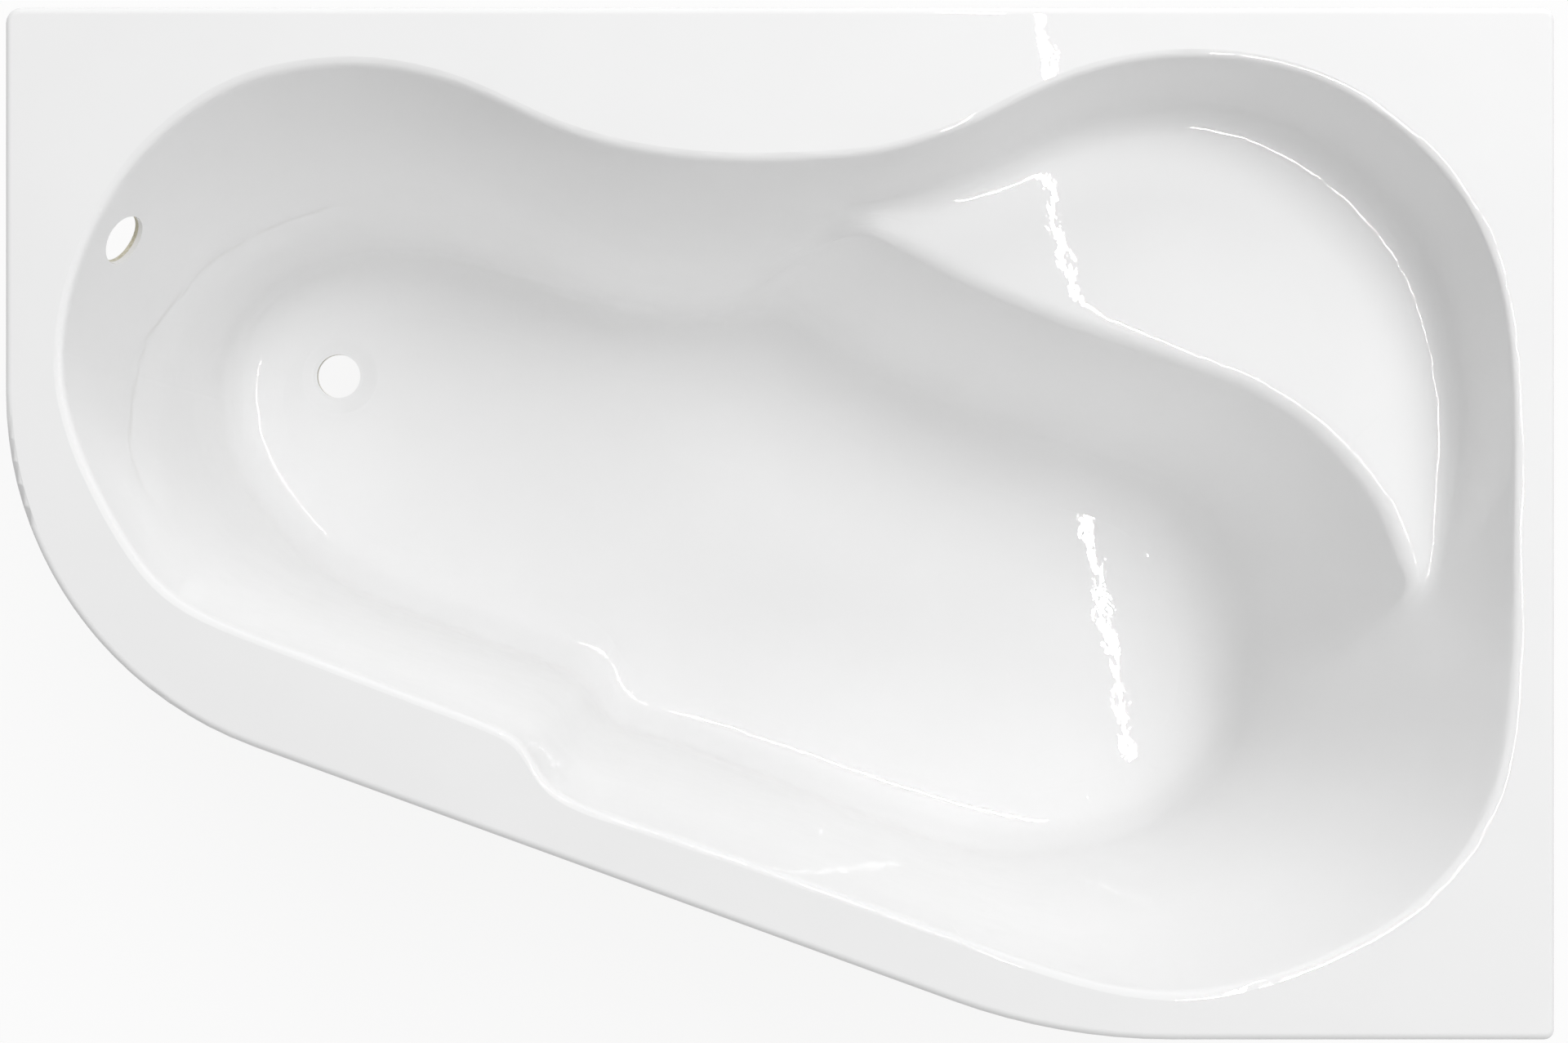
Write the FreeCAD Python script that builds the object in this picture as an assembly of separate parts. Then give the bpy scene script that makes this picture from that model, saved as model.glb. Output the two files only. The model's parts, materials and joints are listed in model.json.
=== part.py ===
import FreeCAD, Part
import math
import os
from FreeCAD import Vector

os.makedirs("parts", exist_ok=True)

# A corner bathtub for a right-hand corner, in millimetres. Z is up and the tub stands on Z = 0.
# The long side against the wall faces +Y, the short side against the wall faces +X.

# Rim
RIM_LENGTH = 1500.0
RIM_WIDTH = 1000.0
RIM_HEIGHT = 600.0
LIP_HEIGHT = 40.0
LIP_ROUND = 8.0
BACK_LEFT_ROUND = 16.0
BACK_RIGHT_ROUND = 12.0
FRONT_RIGHT_ROUND = 10.0
FRONT_BEND_ROUND = 620.0
FOOT_END_ROUND = 365.0

# Basin, its floor's level counted at the drain
FLOOR_LEVEL = 170.0
BASIN_DEPTH = RIM_HEIGHT - FLOOR_LEVEL
FLOOR_FALL = 12.0
SHELF_DEPTH = 115.0
MOUTH_ROUND = 7.0
SHELF_ROUND = 34.0
NOSE_ROUND = 18.0
FLOOR_ROUND = 60.0
ACRYLIC_THICKNESS = 5.0
LAMINATE_THICKNESS = 4.0
LAMINATE_EDGE_GAP = 3.0
LAMINATE_MOUTH_ROUND = 14.0

# Waste and overflow holes
DRAIN_HOLE_DIAMETER = 52.0
DISH_DIAMETER = 90.0
DISH_BOTTOM_DIAMETER = 60.0
DISH_DEPTH = 2.5
OVERFLOW_DEPTH = 56.0

# Boards and blocks under the skin
BOARD_THICKNESS = 18.0
BOARD_NOTCH_DIAMETER = 120.0
BLOCK_THICKNESS = 16.0
BLOCK_LEG = 150.0
BLOCK_TIP = 25.0
BATTEN_WIDTH = 45.0
TIMBER_INSET = 13.0

# Steel frame of square tube. Its cross bars reach past the basin's wall, and one past the seat post.
TUBE_SIDE = 25.0
TUBE_WALL = 1.5
TUBE_ROUND = 2.5
RAIL_SPACING = 220.0
SHORT_REACH = 75.0
LONG_REACH = 95.0
FOOT_INSET = 30.0
CAP_THICKNESS = 3.0
CAP_PLUG = 14.0
CAP_CLEARANCE = 0.1
SEAT_BOARD_LENGTH = 130.0
SEAT_BOARD_WIDTH = 100.0
SEAT_PLATE_SIDE = 64.0
SEAT_PLATE_THICKNESS = 4.0
SEAT_SCREW_SPACING = 44.0

# Feet, the stud's top counted from the top of its bar
STUD_DIAMETER = 12.0
STUD_TOP = 52.0
STUD_POINT = 1.5
STUD_RUNNING_CLEARANCE = 0.05
STUD_HOLE_CLEARANCE = 0.5
NUT_WIDTH = 19.0
NUT_HEIGHT = 10.0
COLLAR_HEIGHT = 8.0
COLLAR_GAP = 0.1
PAD_DIAMETER = 56.0
PAD_RIM_HEIGHT = 6.0
PAD_NECK_DIAMETER = 28.0
PAD_SHOULDER_HEIGHT = 20.0
PAD_HEIGHT = 30.0
SOCKET_FLOOR = 8.0
STUD_END_GAP = 1.0

# Screws
SCREW_DIAMETER = 4.0
SCREW_HEAD_DIAMETER = 9.0
SCREW_HEAD_HEIGHT = 2.5
SCREW_HEAD_ROUND = 1.2
SCREW_CLEARANCE = 0.25
PILOT_CLEARANCE = 0.05
PILOT_END_GAP = 0.5
SCREW_BITE = 12.0
BOARD_SCREW_INSET = 95.0

# Wall brackets
BRACKET_THICKNESS = 2.5
BRACKET_WIDTH = 42.0
BRACKET_GAP = 1.0
BRACKET_FLANGE = 45.0
BRACKET_DROP = 6.0
BRACKET_WALL_LEG = 55.0
BRACKET_HOLE_DIAMETER = 6.5
BRACKET_HOLE_SPACING = 22.0
BRACKET_HOLE_DROP = 35.0
BRACKET_SCREW_SPACING = 22.0
BRACKET_SCREW_REACH = 30.0
BRACKET_CORNER_DISTANCE = 80.0

CUT_OVERRUN = 30.0
SEW_TOLERANCE = 0.001

# Places as shares of the rim's length and width, counted from the middle of the rim:
# the rim's bend at the front, the end of its slanting side, the drain and the floor's middle line
FRONT_BEND_SHARES = (0.180, -0.500)
FOOT_CORNER_SHARES = (-0.500, -0.129)
DRAIN_SHARES = (-0.353, 0.176)
FLOOR_MIDDLE_SHARES = ((-0.296, 0.118), (0.218, -0.155))

# Contours as shares too. They start at the foot end and go round by the back, the head end and the front.
MOUTH_SHARES = (
    (-0.463, 0.166), (-0.455, 0.237), (-0.435, 0.307), (-0.403, 0.370), (-0.359, 0.418),
    (-0.315, 0.439), (-0.271, 0.444), (-0.229, 0.435), (-0.192, 0.416), (-0.155, 0.390),
    (-0.113, 0.368), (-0.066, 0.355), (-0.018, 0.351), (0.024, 0.353), (0.058, 0.357),
    (0.089, 0.368), (0.124, 0.387), (0.159, 0.413), (0.197, 0.436), (0.238, 0.449),
    (0.280, 0.451), (0.321, 0.442), (0.360, 0.421), (0.396, 0.386), (0.426, 0.344),
    (0.450, 0.291), (0.465, 0.229), (0.472, 0.159), (0.474, 0.088), (0.474, 0.021),
    (0.474, -0.047), (0.474, -0.114), (0.471, -0.181), (0.461, -0.259), (0.434, -0.332),
    (0.392, -0.387), (0.334, -0.429), (0.266, -0.453), (0.197, -0.441), (0.118, -0.401),
    (0.024, -0.350), (-0.071, -0.301), (-0.126, -0.273), (-0.151, -0.248), (-0.166, -0.215),
    (-0.192, -0.192), (-0.250, -0.159), (-0.318, -0.120), (-0.376, -0.084), (-0.413, -0.035),
    (-0.442, 0.040), (-0.458, 0.103),
)
FLOOR_SHARES = (
    (-0.436, 0.143), (-0.431, 0.196), (-0.412, 0.242), (-0.384, 0.277), (-0.350, 0.298),
    (-0.319, 0.307), (-0.287, 0.308), (-0.254, 0.302), (-0.223, 0.290), (-0.192, 0.275),
    (-0.153, 0.254), (-0.114, 0.238), (-0.078, 0.233), (-0.046, 0.235), (-0.020, 0.237),
    (0.003, 0.225), (0.028, 0.201), (0.055, 0.177), (0.087, 0.153), (0.119, 0.132),
    (0.153, 0.113), (0.189, 0.096), (0.223, 0.080), (0.254, 0.067), (0.279, 0.053),
    (0.300, 0.034), (0.318, 0.007), (0.330, -0.022), (0.340, -0.055), (0.347, -0.088),
    (0.353, -0.121), (0.357, -0.155), (0.356, -0.194), (0.346, -0.253), (0.322, -0.305),
    (0.287, -0.346), (0.241, -0.370), (0.189, -0.381), (0.134, -0.373), (0.072, -0.342),
    (0.003, -0.302), (-0.068, -0.262), (-0.111, -0.242), (-0.134, -0.226), (-0.145, -0.202),
    (-0.166, -0.171), (-0.218, -0.141), (-0.280, -0.108), (-0.335, -0.072), (-0.378, -0.026),
    (-0.410, 0.033), (-0.430, 0.089),
)
# The crescent shelf starts at one place of the contours and ends at another.
SHELF_START = 13
SHELF_FADES = (1.7, 2.6)
SHELF_BACK_SHARES = (
    (-0.001, 0.310), (0.041, 0.322), (0.082, 0.332), (0.119, 0.346), (0.159, 0.372), (0.201, 0.400),
    (0.249, 0.418), (0.291, 0.421), (0.330, 0.409), (0.368, 0.380), (0.401, 0.341),
    (0.428, 0.293), (0.446, 0.238), (0.457, 0.177), (0.463, 0.112), (0.462, 0.047),
    (0.455, -0.012), (0.448, -0.070), (0.441, -0.131), (0.432, -0.192),
)
SHELF_NOSE_SHARES = (
    (-0.001, 0.310), (0.040, 0.309), (0.077, 0.289), (0.109, 0.263), (0.140, 0.240), (0.172, 0.220),
    (0.201, 0.203), (0.231, 0.188), (0.259, 0.174), (0.286, 0.159), (0.312, 0.145),
    (0.336, 0.127), (0.360, 0.103), (0.383, 0.072), (0.401, 0.040), (0.415, 0.007),
    (0.426, -0.033), (0.436, -0.079), (0.438, -0.133), (0.432, -0.192),
)
# How full the walls are, how round the corners are and where the overflow hole sits
WALL_BULGE_SHARE = 0.5
ROUND_HANDLE_SHARE = 0.45
ROUND_LIMIT_SHARE = 0.4
OVERFLOW_PLACE = 1.8
# The battens' ends along the rim's length, and along its slanting side from the bend
BACK_BATTEN_SHARES = (-0.155, 0.125)
FRONT_BATTEN_SHARES = (0.580, 0.765)

# Drawing the basin: samples for each place of the contours, faces round the basin, and control
# points down the plain wall, as many as the shelf's two corners have
SAMPLES = 3
PATCHES = 4
WALL_ROWS = 8
DEGREE = 3


def on_rim(shares):
    """The level place that a pair of shares gives."""
    return Vector(shares[0] * RIM_LENGTH, shares[1] * RIM_WIDTH, 0)


def floor_height(x):
    """Height of the inside floor, which falls towards the drain."""
    return FLOOR_LEVEL + FLOOR_FALL * (x - on_rim(DRAIN_SHARES).x) / RIM_LENGTH


def spline_through(points, closed):
    """A smooth curve through points, one step of its parameter for each point."""
    steps = len(points) if closed else len(points) - 1
    places = [float(i) for i in range(steps + 1)]
    curve = Part.BSplineCurve()
    curve.interpolate(Points=points, PeriodicFlag=closed, Parameters=places)
    return curve


def contour(shares, closed):
    """A level curve through places given as shares of the rim."""
    return spline_through([on_rim(pair) for pair in shares], closed)


def toward_middle(point):
    """Level direction from a point of the floor's edge to the floor's middle line."""
    start, end = [on_rim(pair) for pair in FLOOR_MIDDLE_SHARES]
    along = end - start
    share = (point - start).dot(along) / along.dot(along)
    inward = start + along * min(max(share, 0), 1) - point
    return Vector(inward.x, inward.y, 0).normalize()


def rounded(before, corner, after, run):
    """Four control points that round one corner of the basin's section."""
    up = (before - corner).normalize()
    down = (after - corner).normalize()
    near = run * ROUND_HANDLE_SHARE
    return [corner + up * run, corner + up * near, corner + down * near, corner + down * run]


def basin_sections(mouth_round):
    """Control points of the basin's inner face, a section from rim to floor at each sample."""
    mouth_line = contour(MOUTH_SHARES, True)
    floor_line = contour(FLOOR_SHARES, True)
    back_line = contour(SHELF_BACK_SHARES, False)
    nose_line = contour(SHELF_NOSE_SHARES, False)
    shelf_end = SHELF_START + len(SHELF_BACK_SHARES) - 1
    sections = []
    for sample in range(len(MOUTH_SHARES) * SAMPLES):
        place = sample / SAMPLES
        mouth = mouth_line.value(place)
        floor = floor_line.value(place)
        along = mouth_line.tangent(place)[0]
        outside = mouth + Vector(-along.y, along.x, 0)
        inside = floor + toward_middle(floor)
        mouth.z = RIM_HEIGHT
        outside.z = RIM_HEIGHT
        floor.z = floor_height(floor.x)
        inside.z = floor_height(inside.x)

        def wall(share):
            """A point of the plain wall, at a share of its height from the mouth down."""
            reach = share + WALL_BULGE_SHARE * share * (1 - share)
            spot = mouth + (floor - mouth) * reach
            spot.z = mouth.z + (floor.z - mouth.z) * share
            return spot

        top_share = mouth_round / BASIN_DEPTH
        foot_share = 1 - FLOOR_ROUND / BASIN_DEPTH
        plain = rounded(outside, mouth, wall(top_share), mouth_round)
        for row in range(1, WALL_ROWS + 1):
            plain.append(wall(top_share + (foot_share - top_share) * row / (WALL_ROWS + 1)))
        plain += rounded(wall(foot_share), floor, inside, FLOOR_ROUND)

        # The shelf fades into the plain wall at both of its tips.
        fade = min((place - SHELF_START) / SHELF_FADES[0], (shelf_end - place) / SHELF_FADES[1], 1)
        if fade <= 0:
            sections.append(plain)
            continue
        back = back_line.value(place - SHELF_START)
        nose = nose_line.value(place - SHELF_START)
        back.z = nose.z = RIM_HEIGHT - SHELF_DEPTH
        limit = (nose - back).Length * ROUND_LIMIT_SHARE
        stepped = rounded(outside, mouth, back, mouth_round)
        stepped += rounded(mouth, back, nose, min(SHELF_ROUND, limit))
        stepped += rounded(back, nose, floor, min(NOSE_ROUND, limit))
        stepped += rounded(nose, floor, inside, FLOOR_ROUND)
        blend = fade * fade * (3 - 2 * fade)
        sections.append([p + (s - p) * blend for p, s in zip(plain, stepped)])
    return sections


def moved_back(sections, distance, floor_level):
    """The sections moved away from the basin by a distance, their floor rows put on a level."""
    count = len(sections)
    moved = []
    for number, section in enumerate(sections):
        before = sections[number - 1]
        after = sections[(number + 1) % count]
        rows = []
        for row, point in enumerate(section):
            round_it = after[row] - before[row]
            above = section[max(row, 1)] - section[max(row, 1) - 1]
            last = len(section) - 1
            below = section[min(row + 1, last)] - section[min(row + 1, last) - 1]
            first = round_it.cross(above).normalize()
            second = round_it.cross(below).normalize()
            spot = point + (first + second) * (distance / (1 + first.dot(second)))
            if row >= last - 1:
                spot.z = floor_level(spot.x)
            rows.append(spot)
        moved.append(rows)
    return moved


def skin(sections):
    """Faces of the smooth surface that the sections control."""
    rows = [spline_through(points, True) for points in zip(*sections)]
    poles = [list(column) for column in zip(*[row.getPoles() for row in rows])]
    spans = len(rows) - DEGREE
    surface = Part.BSplineSurface()
    surface.buildFromPolesMultsKnots(
        poles, rows[0].getMultiplicities(), [DEGREE + 1] + [1] * (spans - 1) + [DEGREE + 1],
        rows[0].getKnots(), [float(i) for i in range(spans + 1)], True, False, DEGREE, DEGREE)
    patches = []
    for patch in range(PATCHES):
        piece = surface.copy()
        piece.segment(len(sections) * patch / PATCHES, len(sections) * (patch + 1) / PATCHES, 0, spans)
        patches.append(piece.toShape())
    return surface, patches


def edge_loop(faces, row_end):
    """The closed wire along the upper or the lower end of a skin."""
    edges = []
    for face in faces:
        low, high = face.ParameterRange[2:]
        curve = face.Surface.vIso(high if row_end else low)
        edges.append(min(face.Edges, key=lambda edge: edge.valueAt(
            (edge.FirstParameter + edge.LastParameter) / 2).distanceToPoint(
            curve.value((curve.FirstParameter + curve.LastParameter) / 2))))
    return Part.Wire(Part.sortEdges(edges)[0])


def sewn(faces):
    """One solid from faces that close it."""
    compound = Part.makeCompound(faces)
    compound.sewShape(SEW_TOLERANCE)
    solid = Part.Solid(compound.Shells[0])
    if solid.Volume < 0:
        solid.reverse()
    return solid


def rim_outline():
    """The closed outline of the rim at height zero."""
    left = -RIM_LENGTH / 2
    right = RIM_LENGTH / 2
    back = RIM_WIDTH / 2
    front = -RIM_WIDTH / 2
    corners = (
        (Vector(left, back, 0), BACK_LEFT_ROUND), (Vector(right, back, 0), BACK_RIGHT_ROUND),
        (Vector(right, front, 0), FRONT_RIGHT_ROUND), (on_rim(FRONT_BEND_SHARES), FRONT_BEND_ROUND),
        (on_rim(FOOT_CORNER_SHARES), FOOT_END_ROUND),
    )
    spots = [spot for spot, radius in corners]
    block = Part.Face(Part.makePolygon(spots + spots[:1])).extrude(Vector(0, 0, LIP_HEIGHT))
    for spot, radius in corners:
        upright = min(block.Edges, key=lambda edge: edge.CenterOfMass.distanceToPoint(
            spot + Vector(0, 0, LIP_HEIGHT / 2)))
        block = block.makeFillet(radius, [upright])
    return min(block.Faces, key=lambda face: face.BoundBox.ZMax).OuterWire


def level_edges(shape, height):
    """Edges that lie level at a height."""
    return [edge for edge in shape.Edges
            if max(abs(edge.BoundBox.ZMin - height), abs(edge.BoundBox.ZMax - height)) < SEW_TOLERANCE]


def rim_block(outline, inset, top, round_radius):
    """The block inside the rim's outline, its upper edge rounded: its sides and the wire of its top."""
    wire = outline.makeOffset2D(-inset) if inset else outline.copy()
    wire.translate(Vector(0, 0, RIM_HEIGHT - LIP_HEIGHT))
    block = Part.Face(wire).extrude(Vector(0, 0, top - RIM_HEIGHT + LIP_HEIGHT))
    block = block.makeFillet(round_radius, level_edges(block, top))
    upper = max(block.Faces, key=lambda face: face.BoundBox.ZMin)
    lower = min(block.Faces, key=lambda face: face.BoundBox.ZMax)
    sides = [f for f in block.Faces if not f.isSame(upper) and not f.isSame(lower)]
    return sides, upper.OuterWire, lower.OuterWire


def ring(outer, inner):
    """A level face between two wires."""
    return Part.makeFace([outer, inner], "Part::FaceMakerBullseye")


def upright(diameter, x, y, low, high):
    """An upright cylinder between two heights."""
    return Part.makeCylinder(diameter / 2, high - low, Vector(x, y, low))


def box(x_low, x_high, y_low, y_high, z_low, z_high):
    """A block between two values on each axis."""
    return Part.makeBox(x_high - x_low, y_high - y_low, z_high - z_low, Vector(x_low, y_low, z_low))


def tube(length):
    """A square tube along X from zero, its axis on the X axis."""
    half = TUBE_SIDE / 2
    hollow = half - TUBE_WALL
    outer = box(0, length, -half, half, -half, half)
    outer = outer.makeFillet(TUBE_ROUND, [e for e in outer.Edges if e.BoundBox.XLength > length / 2])
    return outer.cut(box(-CUT_OVERRUN, length + CUT_OVERRUN, -hollow, hollow, -hollow, hollow))


def end_cap():
    """A plug for the end of a tube that comes from the left along X to zero."""
    half = TUBE_SIDE / 2
    plug = half - TUBE_WALL - CAP_CLEARANCE
    head = box(0, CAP_THICKNESS, -half, half, -half, half)
    head = head.makeFillet(TUBE_ROUND, [e for e in head.Edges if e.BoundBox.XLength > CAP_THICKNESS / 2])
    return head.fuse(box(-CAP_PLUG, 0, -plug, plug, -plug, plug))


def hexagon(width, low, high):
    """An upright six-sided prism about the Z axis."""
    radius = width / 2 / math.cos(math.pi / 6)
    angles = [math.pi / 3 * corner for corner in range(7)]
    spots = [Vector(radius * math.cos(angle), radius * math.sin(angle), low) for angle in angles]
    return Part.Face(Part.makePolygon(spots)).extrude(Vector(0, 0, high - low))


def nut(low):
    """A nut about the Z axis, running on the stud."""
    bore = STUD_DIAMETER + 2 * STUD_RUNNING_CLEARANCE
    hole = upright(bore, 0, 0, low - CUT_OVERRUN, low + NUT_HEIGHT + CUT_OVERRUN)
    return hexagon(NUT_WIDTH, low, low + NUT_HEIGHT).cut(hole)


def foot_stud(top):
    """A threaded stud with a spanner collar that stands on its pad."""
    low = SOCKET_FLOOR + STUD_END_GAP
    rod = upright(STUD_DIAMETER, 0, 0, low, top)
    rod = rod.makeChamfer(STUD_POINT, level_edges(rod, top))
    return rod.fuse(hexagon(NUT_WIDTH, PAD_HEIGHT + COLLAR_GAP, PAD_HEIGHT + COLLAR_GAP + COLLAR_HEIGHT))


def foot_pad():
    """A round pad with a socket in which the stud turns."""
    profile = [
        Vector(0, 0, 0), Vector(PAD_DIAMETER / 2, 0, 0), Vector(PAD_DIAMETER / 2, 0, PAD_RIM_HEIGHT),
        Vector(PAD_NECK_DIAMETER / 2, 0, PAD_SHOULDER_HEIGHT), Vector(PAD_NECK_DIAMETER / 2, 0, PAD_HEIGHT),
        Vector(0, 0, PAD_HEIGHT),
    ]
    pad = Part.Face(Part.makePolygon(profile + profile[:1])).revolve(Vector(0, 0, 0), Vector(0, 0, 1), 360)
    bore = STUD_DIAMETER + 2 * STUD_RUNNING_CLEARANCE
    return pad.cut(upright(bore, 0, 0, SOCKET_FLOOR, PAD_HEIGHT + CUT_OVERRUN))


def screw(length):
    """A wood screw that points up, the underside of its head at zero."""
    head = upright(SCREW_HEAD_DIAMETER, 0, 0, -SCREW_HEAD_HEIGHT, 0)
    head = head.makeFillet(SCREW_HEAD_ROUND, level_edges(head, -SCREW_HEAD_HEIGHT))
    return head.fuse(upright(SCREW_DIAMETER, 0, 0, 0, length))


def put(shape, x, y, z, turn):
    """A copy of a shape turned about Z and then moved."""
    place = FreeCAD.Placement(Vector(x, y, z), FreeCAD.Rotation(Vector(0, 0, 1), turn))
    return shape.transformed(place.toMatrix(), True)


def in_frame(shape):
    """A shape drawn on the frame's own axes, put with its X axis along the floor's middle line."""
    start, end = [on_rim(pair) for pair in FLOOR_MIDDLE_SHARES]
    middle = (start + end) / 2
    turn = math.atan2(end.y - start.y, end.x - start.x)
    return put(shape, middle.x, middle.y, 0, math.degrees(turn))


def at_each(shape, spots, height):
    """Copies of a shape at spots of the frame, at one height."""
    return in_frame(Part.makeCompound([put(shape, x, y, height, 0) for x, y in spots]))


def bar_line(bar_x, side, height):
    """A level line from the middle of a cross bar outwards over one of its ends."""
    return in_frame(Part.makeLine(Vector(bar_x, 0, height), Vector(bar_x, side * RIM_LENGTH, height)))


def wall_distance(bar_x, side, height, wall):
    """How far it is along a cross bar from its middle to the outside of a wall at a height."""
    line = bar_line(bar_x, side, height)
    start = line.Vertexes[0].Point
    return max(vertex.Point.distanceToPoint(start) for vertex in line.common(wall).Vertexes)


def shelf_distance(bar_x, shares):
    """How far it is along a cross bar from its middle to a line of the shelf above it."""
    line = bar_line(bar_x, 1, 0)
    crossing = line.distToShape(contour(shares, False).toShape())[1][0][0]
    return crossing.distanceToPoint(line.Vertexes[0].Point)


def without(shape, tools):
    """A shape with every one of the tools cut out of it."""
    for tool in tools:
        shape = shape.cut(tool)
    return shape


# The shell and its backing
outline = rim_outline()
acrylic_under = RIM_HEIGHT - ACRYLIC_THICKNESS
laminate_under = acrylic_under - LAMINATE_THICKNESS
board_top = FLOOR_LEVEL - ACRYLIC_THICKNESS - LAMINATE_THICKNESS
inner_sections = basin_sections(MOUTH_ROUND)
inner_surface, inner_skin = skin(inner_sections)
middle_skin = skin(moved_back(
    inner_sections, ACRYLIC_THICKNESS, lambda x: floor_height(x) - ACRYLIC_THICKNESS))[1]
outer_skin = skin(moved_back(
    basin_sections(LAMINATE_MOUTH_ROUND), ACRYLIC_THICKNESS + LAMINATE_THICKNESS, lambda x: board_top))[1]
floor_back = Part.Face(edge_loop(middle_skin, True))
under_floor = Part.Face(edge_loop(outer_skin, True))

outer_sides, rim_wire, lip_wire = rim_block(outline, 0, RIM_HEIGHT, LIP_ROUND)
inner_sides, under_wire, lip_inner_wire = rim_block(
    outline, ACRYLIC_THICKNESS, acrylic_under, LIP_ROUND - ACRYLIC_THICKNESS)
acrylic = sewn(
    inner_skin + middle_skin + outer_sides + inner_sides
    + [Part.Face(edge_loop(inner_skin, True)), floor_back,
       ring(rim_wire, edge_loop(inner_skin, False)), ring(under_wire, edge_loop(middle_skin, False)),
       ring(lip_wire, lip_inner_wire)])

edge_wire = outline.makeOffset2D(-LIP_ROUND - LAMINATE_EDGE_GAP)
edge_wire.translate(Vector(0, 0, acrylic_under))
edge_band = edge_wire.extrude(Vector(0, 0, -LAMINATE_THICKNESS))
low_wire = edge_wire.copy()
low_wire.translate(Vector(0, 0, -LAMINATE_THICKNESS))
laminate = sewn(
    middle_skin + outer_skin + edge_band.Faces
    + [floor_back, under_floor, ring(edge_wire, edge_loop(middle_skin, False)),
       ring(low_wire, edge_loop(outer_skin, False))])

# Drain hole with its dish, and the overflow hole square to the wall
drain_x, drain_y = on_rim(DRAIN_SHARES)[:2]
drain = upright(DRAIN_HOLE_DIAMETER, drain_x, drain_y, board_top - CUT_OVERRUN, FLOOR_LEVEL + CUT_OVERRUN)
dish = Part.makeCone(
    DISH_BOTTOM_DIAMETER / 2, DISH_DIAMETER - DISH_BOTTOM_DIAMETER / 2, 2 * DISH_DEPTH,
    Vector(drain_x, drain_y, FLOOR_LEVEL - DISH_DEPTH))
column = OVERFLOW_PLACE * SAMPLES
low, high = 0, inner_surface.bounds()[3]
while high - low > SEW_TOLERANCE:
    row = (low + high) / 2
    if inner_surface.value(column, row).z > RIM_HEIGHT - OVERFLOW_DEPTH:
        low = row
    else:
        high = row
overflow_spot = inner_surface.value(column, low)
overflow_axis = inner_surface.normal(column, low)
if overflow_axis.z > 0:
    overflow_axis = -overflow_axis
overflow = Part.makeCylinder(
    DRAIN_HOLE_DIAMETER / 2, 2 * CUT_OVERRUN, overflow_spot - overflow_axis * CUT_OVERRUN, overflow_axis)

parts = {}
parts["acrylic_shell"] = without(acrylic, [drain, dish, overflow])
parts["fibreglass_backing"] = without(laminate, [drain, overflow])

# Base board under the floor, with a notch round the drain
board_under = board_top - BOARD_THICKNESS
notch = upright(BOARD_NOTCH_DIAMETER, drain_x, drain_y, board_under - CUT_OVERRUN, board_top + CUT_OVERRUN)
base_board = under_floor.extrude(Vector(0, 0, -BOARD_THICKNESS)).cut(notch)

# Frame: two cross bars carry the feet, two rails and a brace join them
tube_middle = board_under - TUBE_SIDE / 2
tube_under = board_under - TUBE_SIDE
stud_top = board_under + STUD_TOP
middle_start, middle_end = [on_rim(pair) for pair in FLOOR_MIDDLE_SHARES]
half_spacing = (middle_end - middle_start).Length / 2
rail_length = 2 * half_spacing - TUBE_SIDE
screw_step = rail_length / 2 - BOARD_SCREW_INSET
rail_screws = [(x, y) for y in (-RAIL_SPACING / 2, RAIL_SPACING / 2) for x in (-screw_step, 0, screw_step)]
screw_through = SCREW_DIAMETER + 2 * SCREW_CLEARANCE
screw_pilot = SCREW_DIAMETER + 2 * PILOT_CLEARANCE
pilot_depth = SCREW_BITE + PILOT_END_GAP
rail_holes = [upright(screw_through, x, y, tube_under - CUT_OVERRUN, board_under) for x, y in rail_screws]
for name, side in (("rail_front", -1), ("rail_back", 1)):
    rail = put(tube(rail_length), -rail_length / 2, side * RAIL_SPACING / 2, tube_middle, 0)
    parts[name] = in_frame(without(rail, rail_holes))
brace_length = RAIL_SPACING - TUBE_SIDE
parts["frame_brace"] = in_frame(put(tube(brace_length), 0, -brace_length / 2, tube_middle, 90))

seat_x = half_spacing
seat_y = (shelf_distance(seat_x, SHELF_NOSE_SHARES) + shelf_distance(seat_x, SHELF_BACK_SHARES)) / 2
bars = {
    "cross_bar_foot_end": (-half_spacing, wall_distance(-half_spacing, 1, stud_top, laminate) + SHORT_REACH),
    "cross_bar_head_end": (half_spacing, seat_y + LONG_REACH),
}
feet = []
caps = []
stud_hole = STUD_DIAMETER + 2 * STUD_HOLE_CLEARANCE
for name, (bar_x, back_reach) in bars.items():
    front_reach = wall_distance(bar_x, -1, stud_top, laminate) + SHORT_REACH
    bar = put(tube(front_reach + back_reach), bar_x, -front_reach, tube_middle, 90)
    spots = [(bar_x, FOOT_INSET - front_reach), (bar_x, back_reach - FOOT_INSET)]
    holes = [upright(stud_hole, x, y, tube_under - CUT_OVERRUN, board_under + CUT_OVERRUN) for x, y in spots]
    parts[name] = in_frame(without(bar, holes))
    feet += spots
    caps.append(put(end_cap(), bar_x, -front_reach, tube_middle, -90))
    caps.append(put(end_cap(), bar_x, back_reach, tube_middle, 90))
parts["tube_end_caps"] = in_frame(Part.makeCompound(caps))

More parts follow.
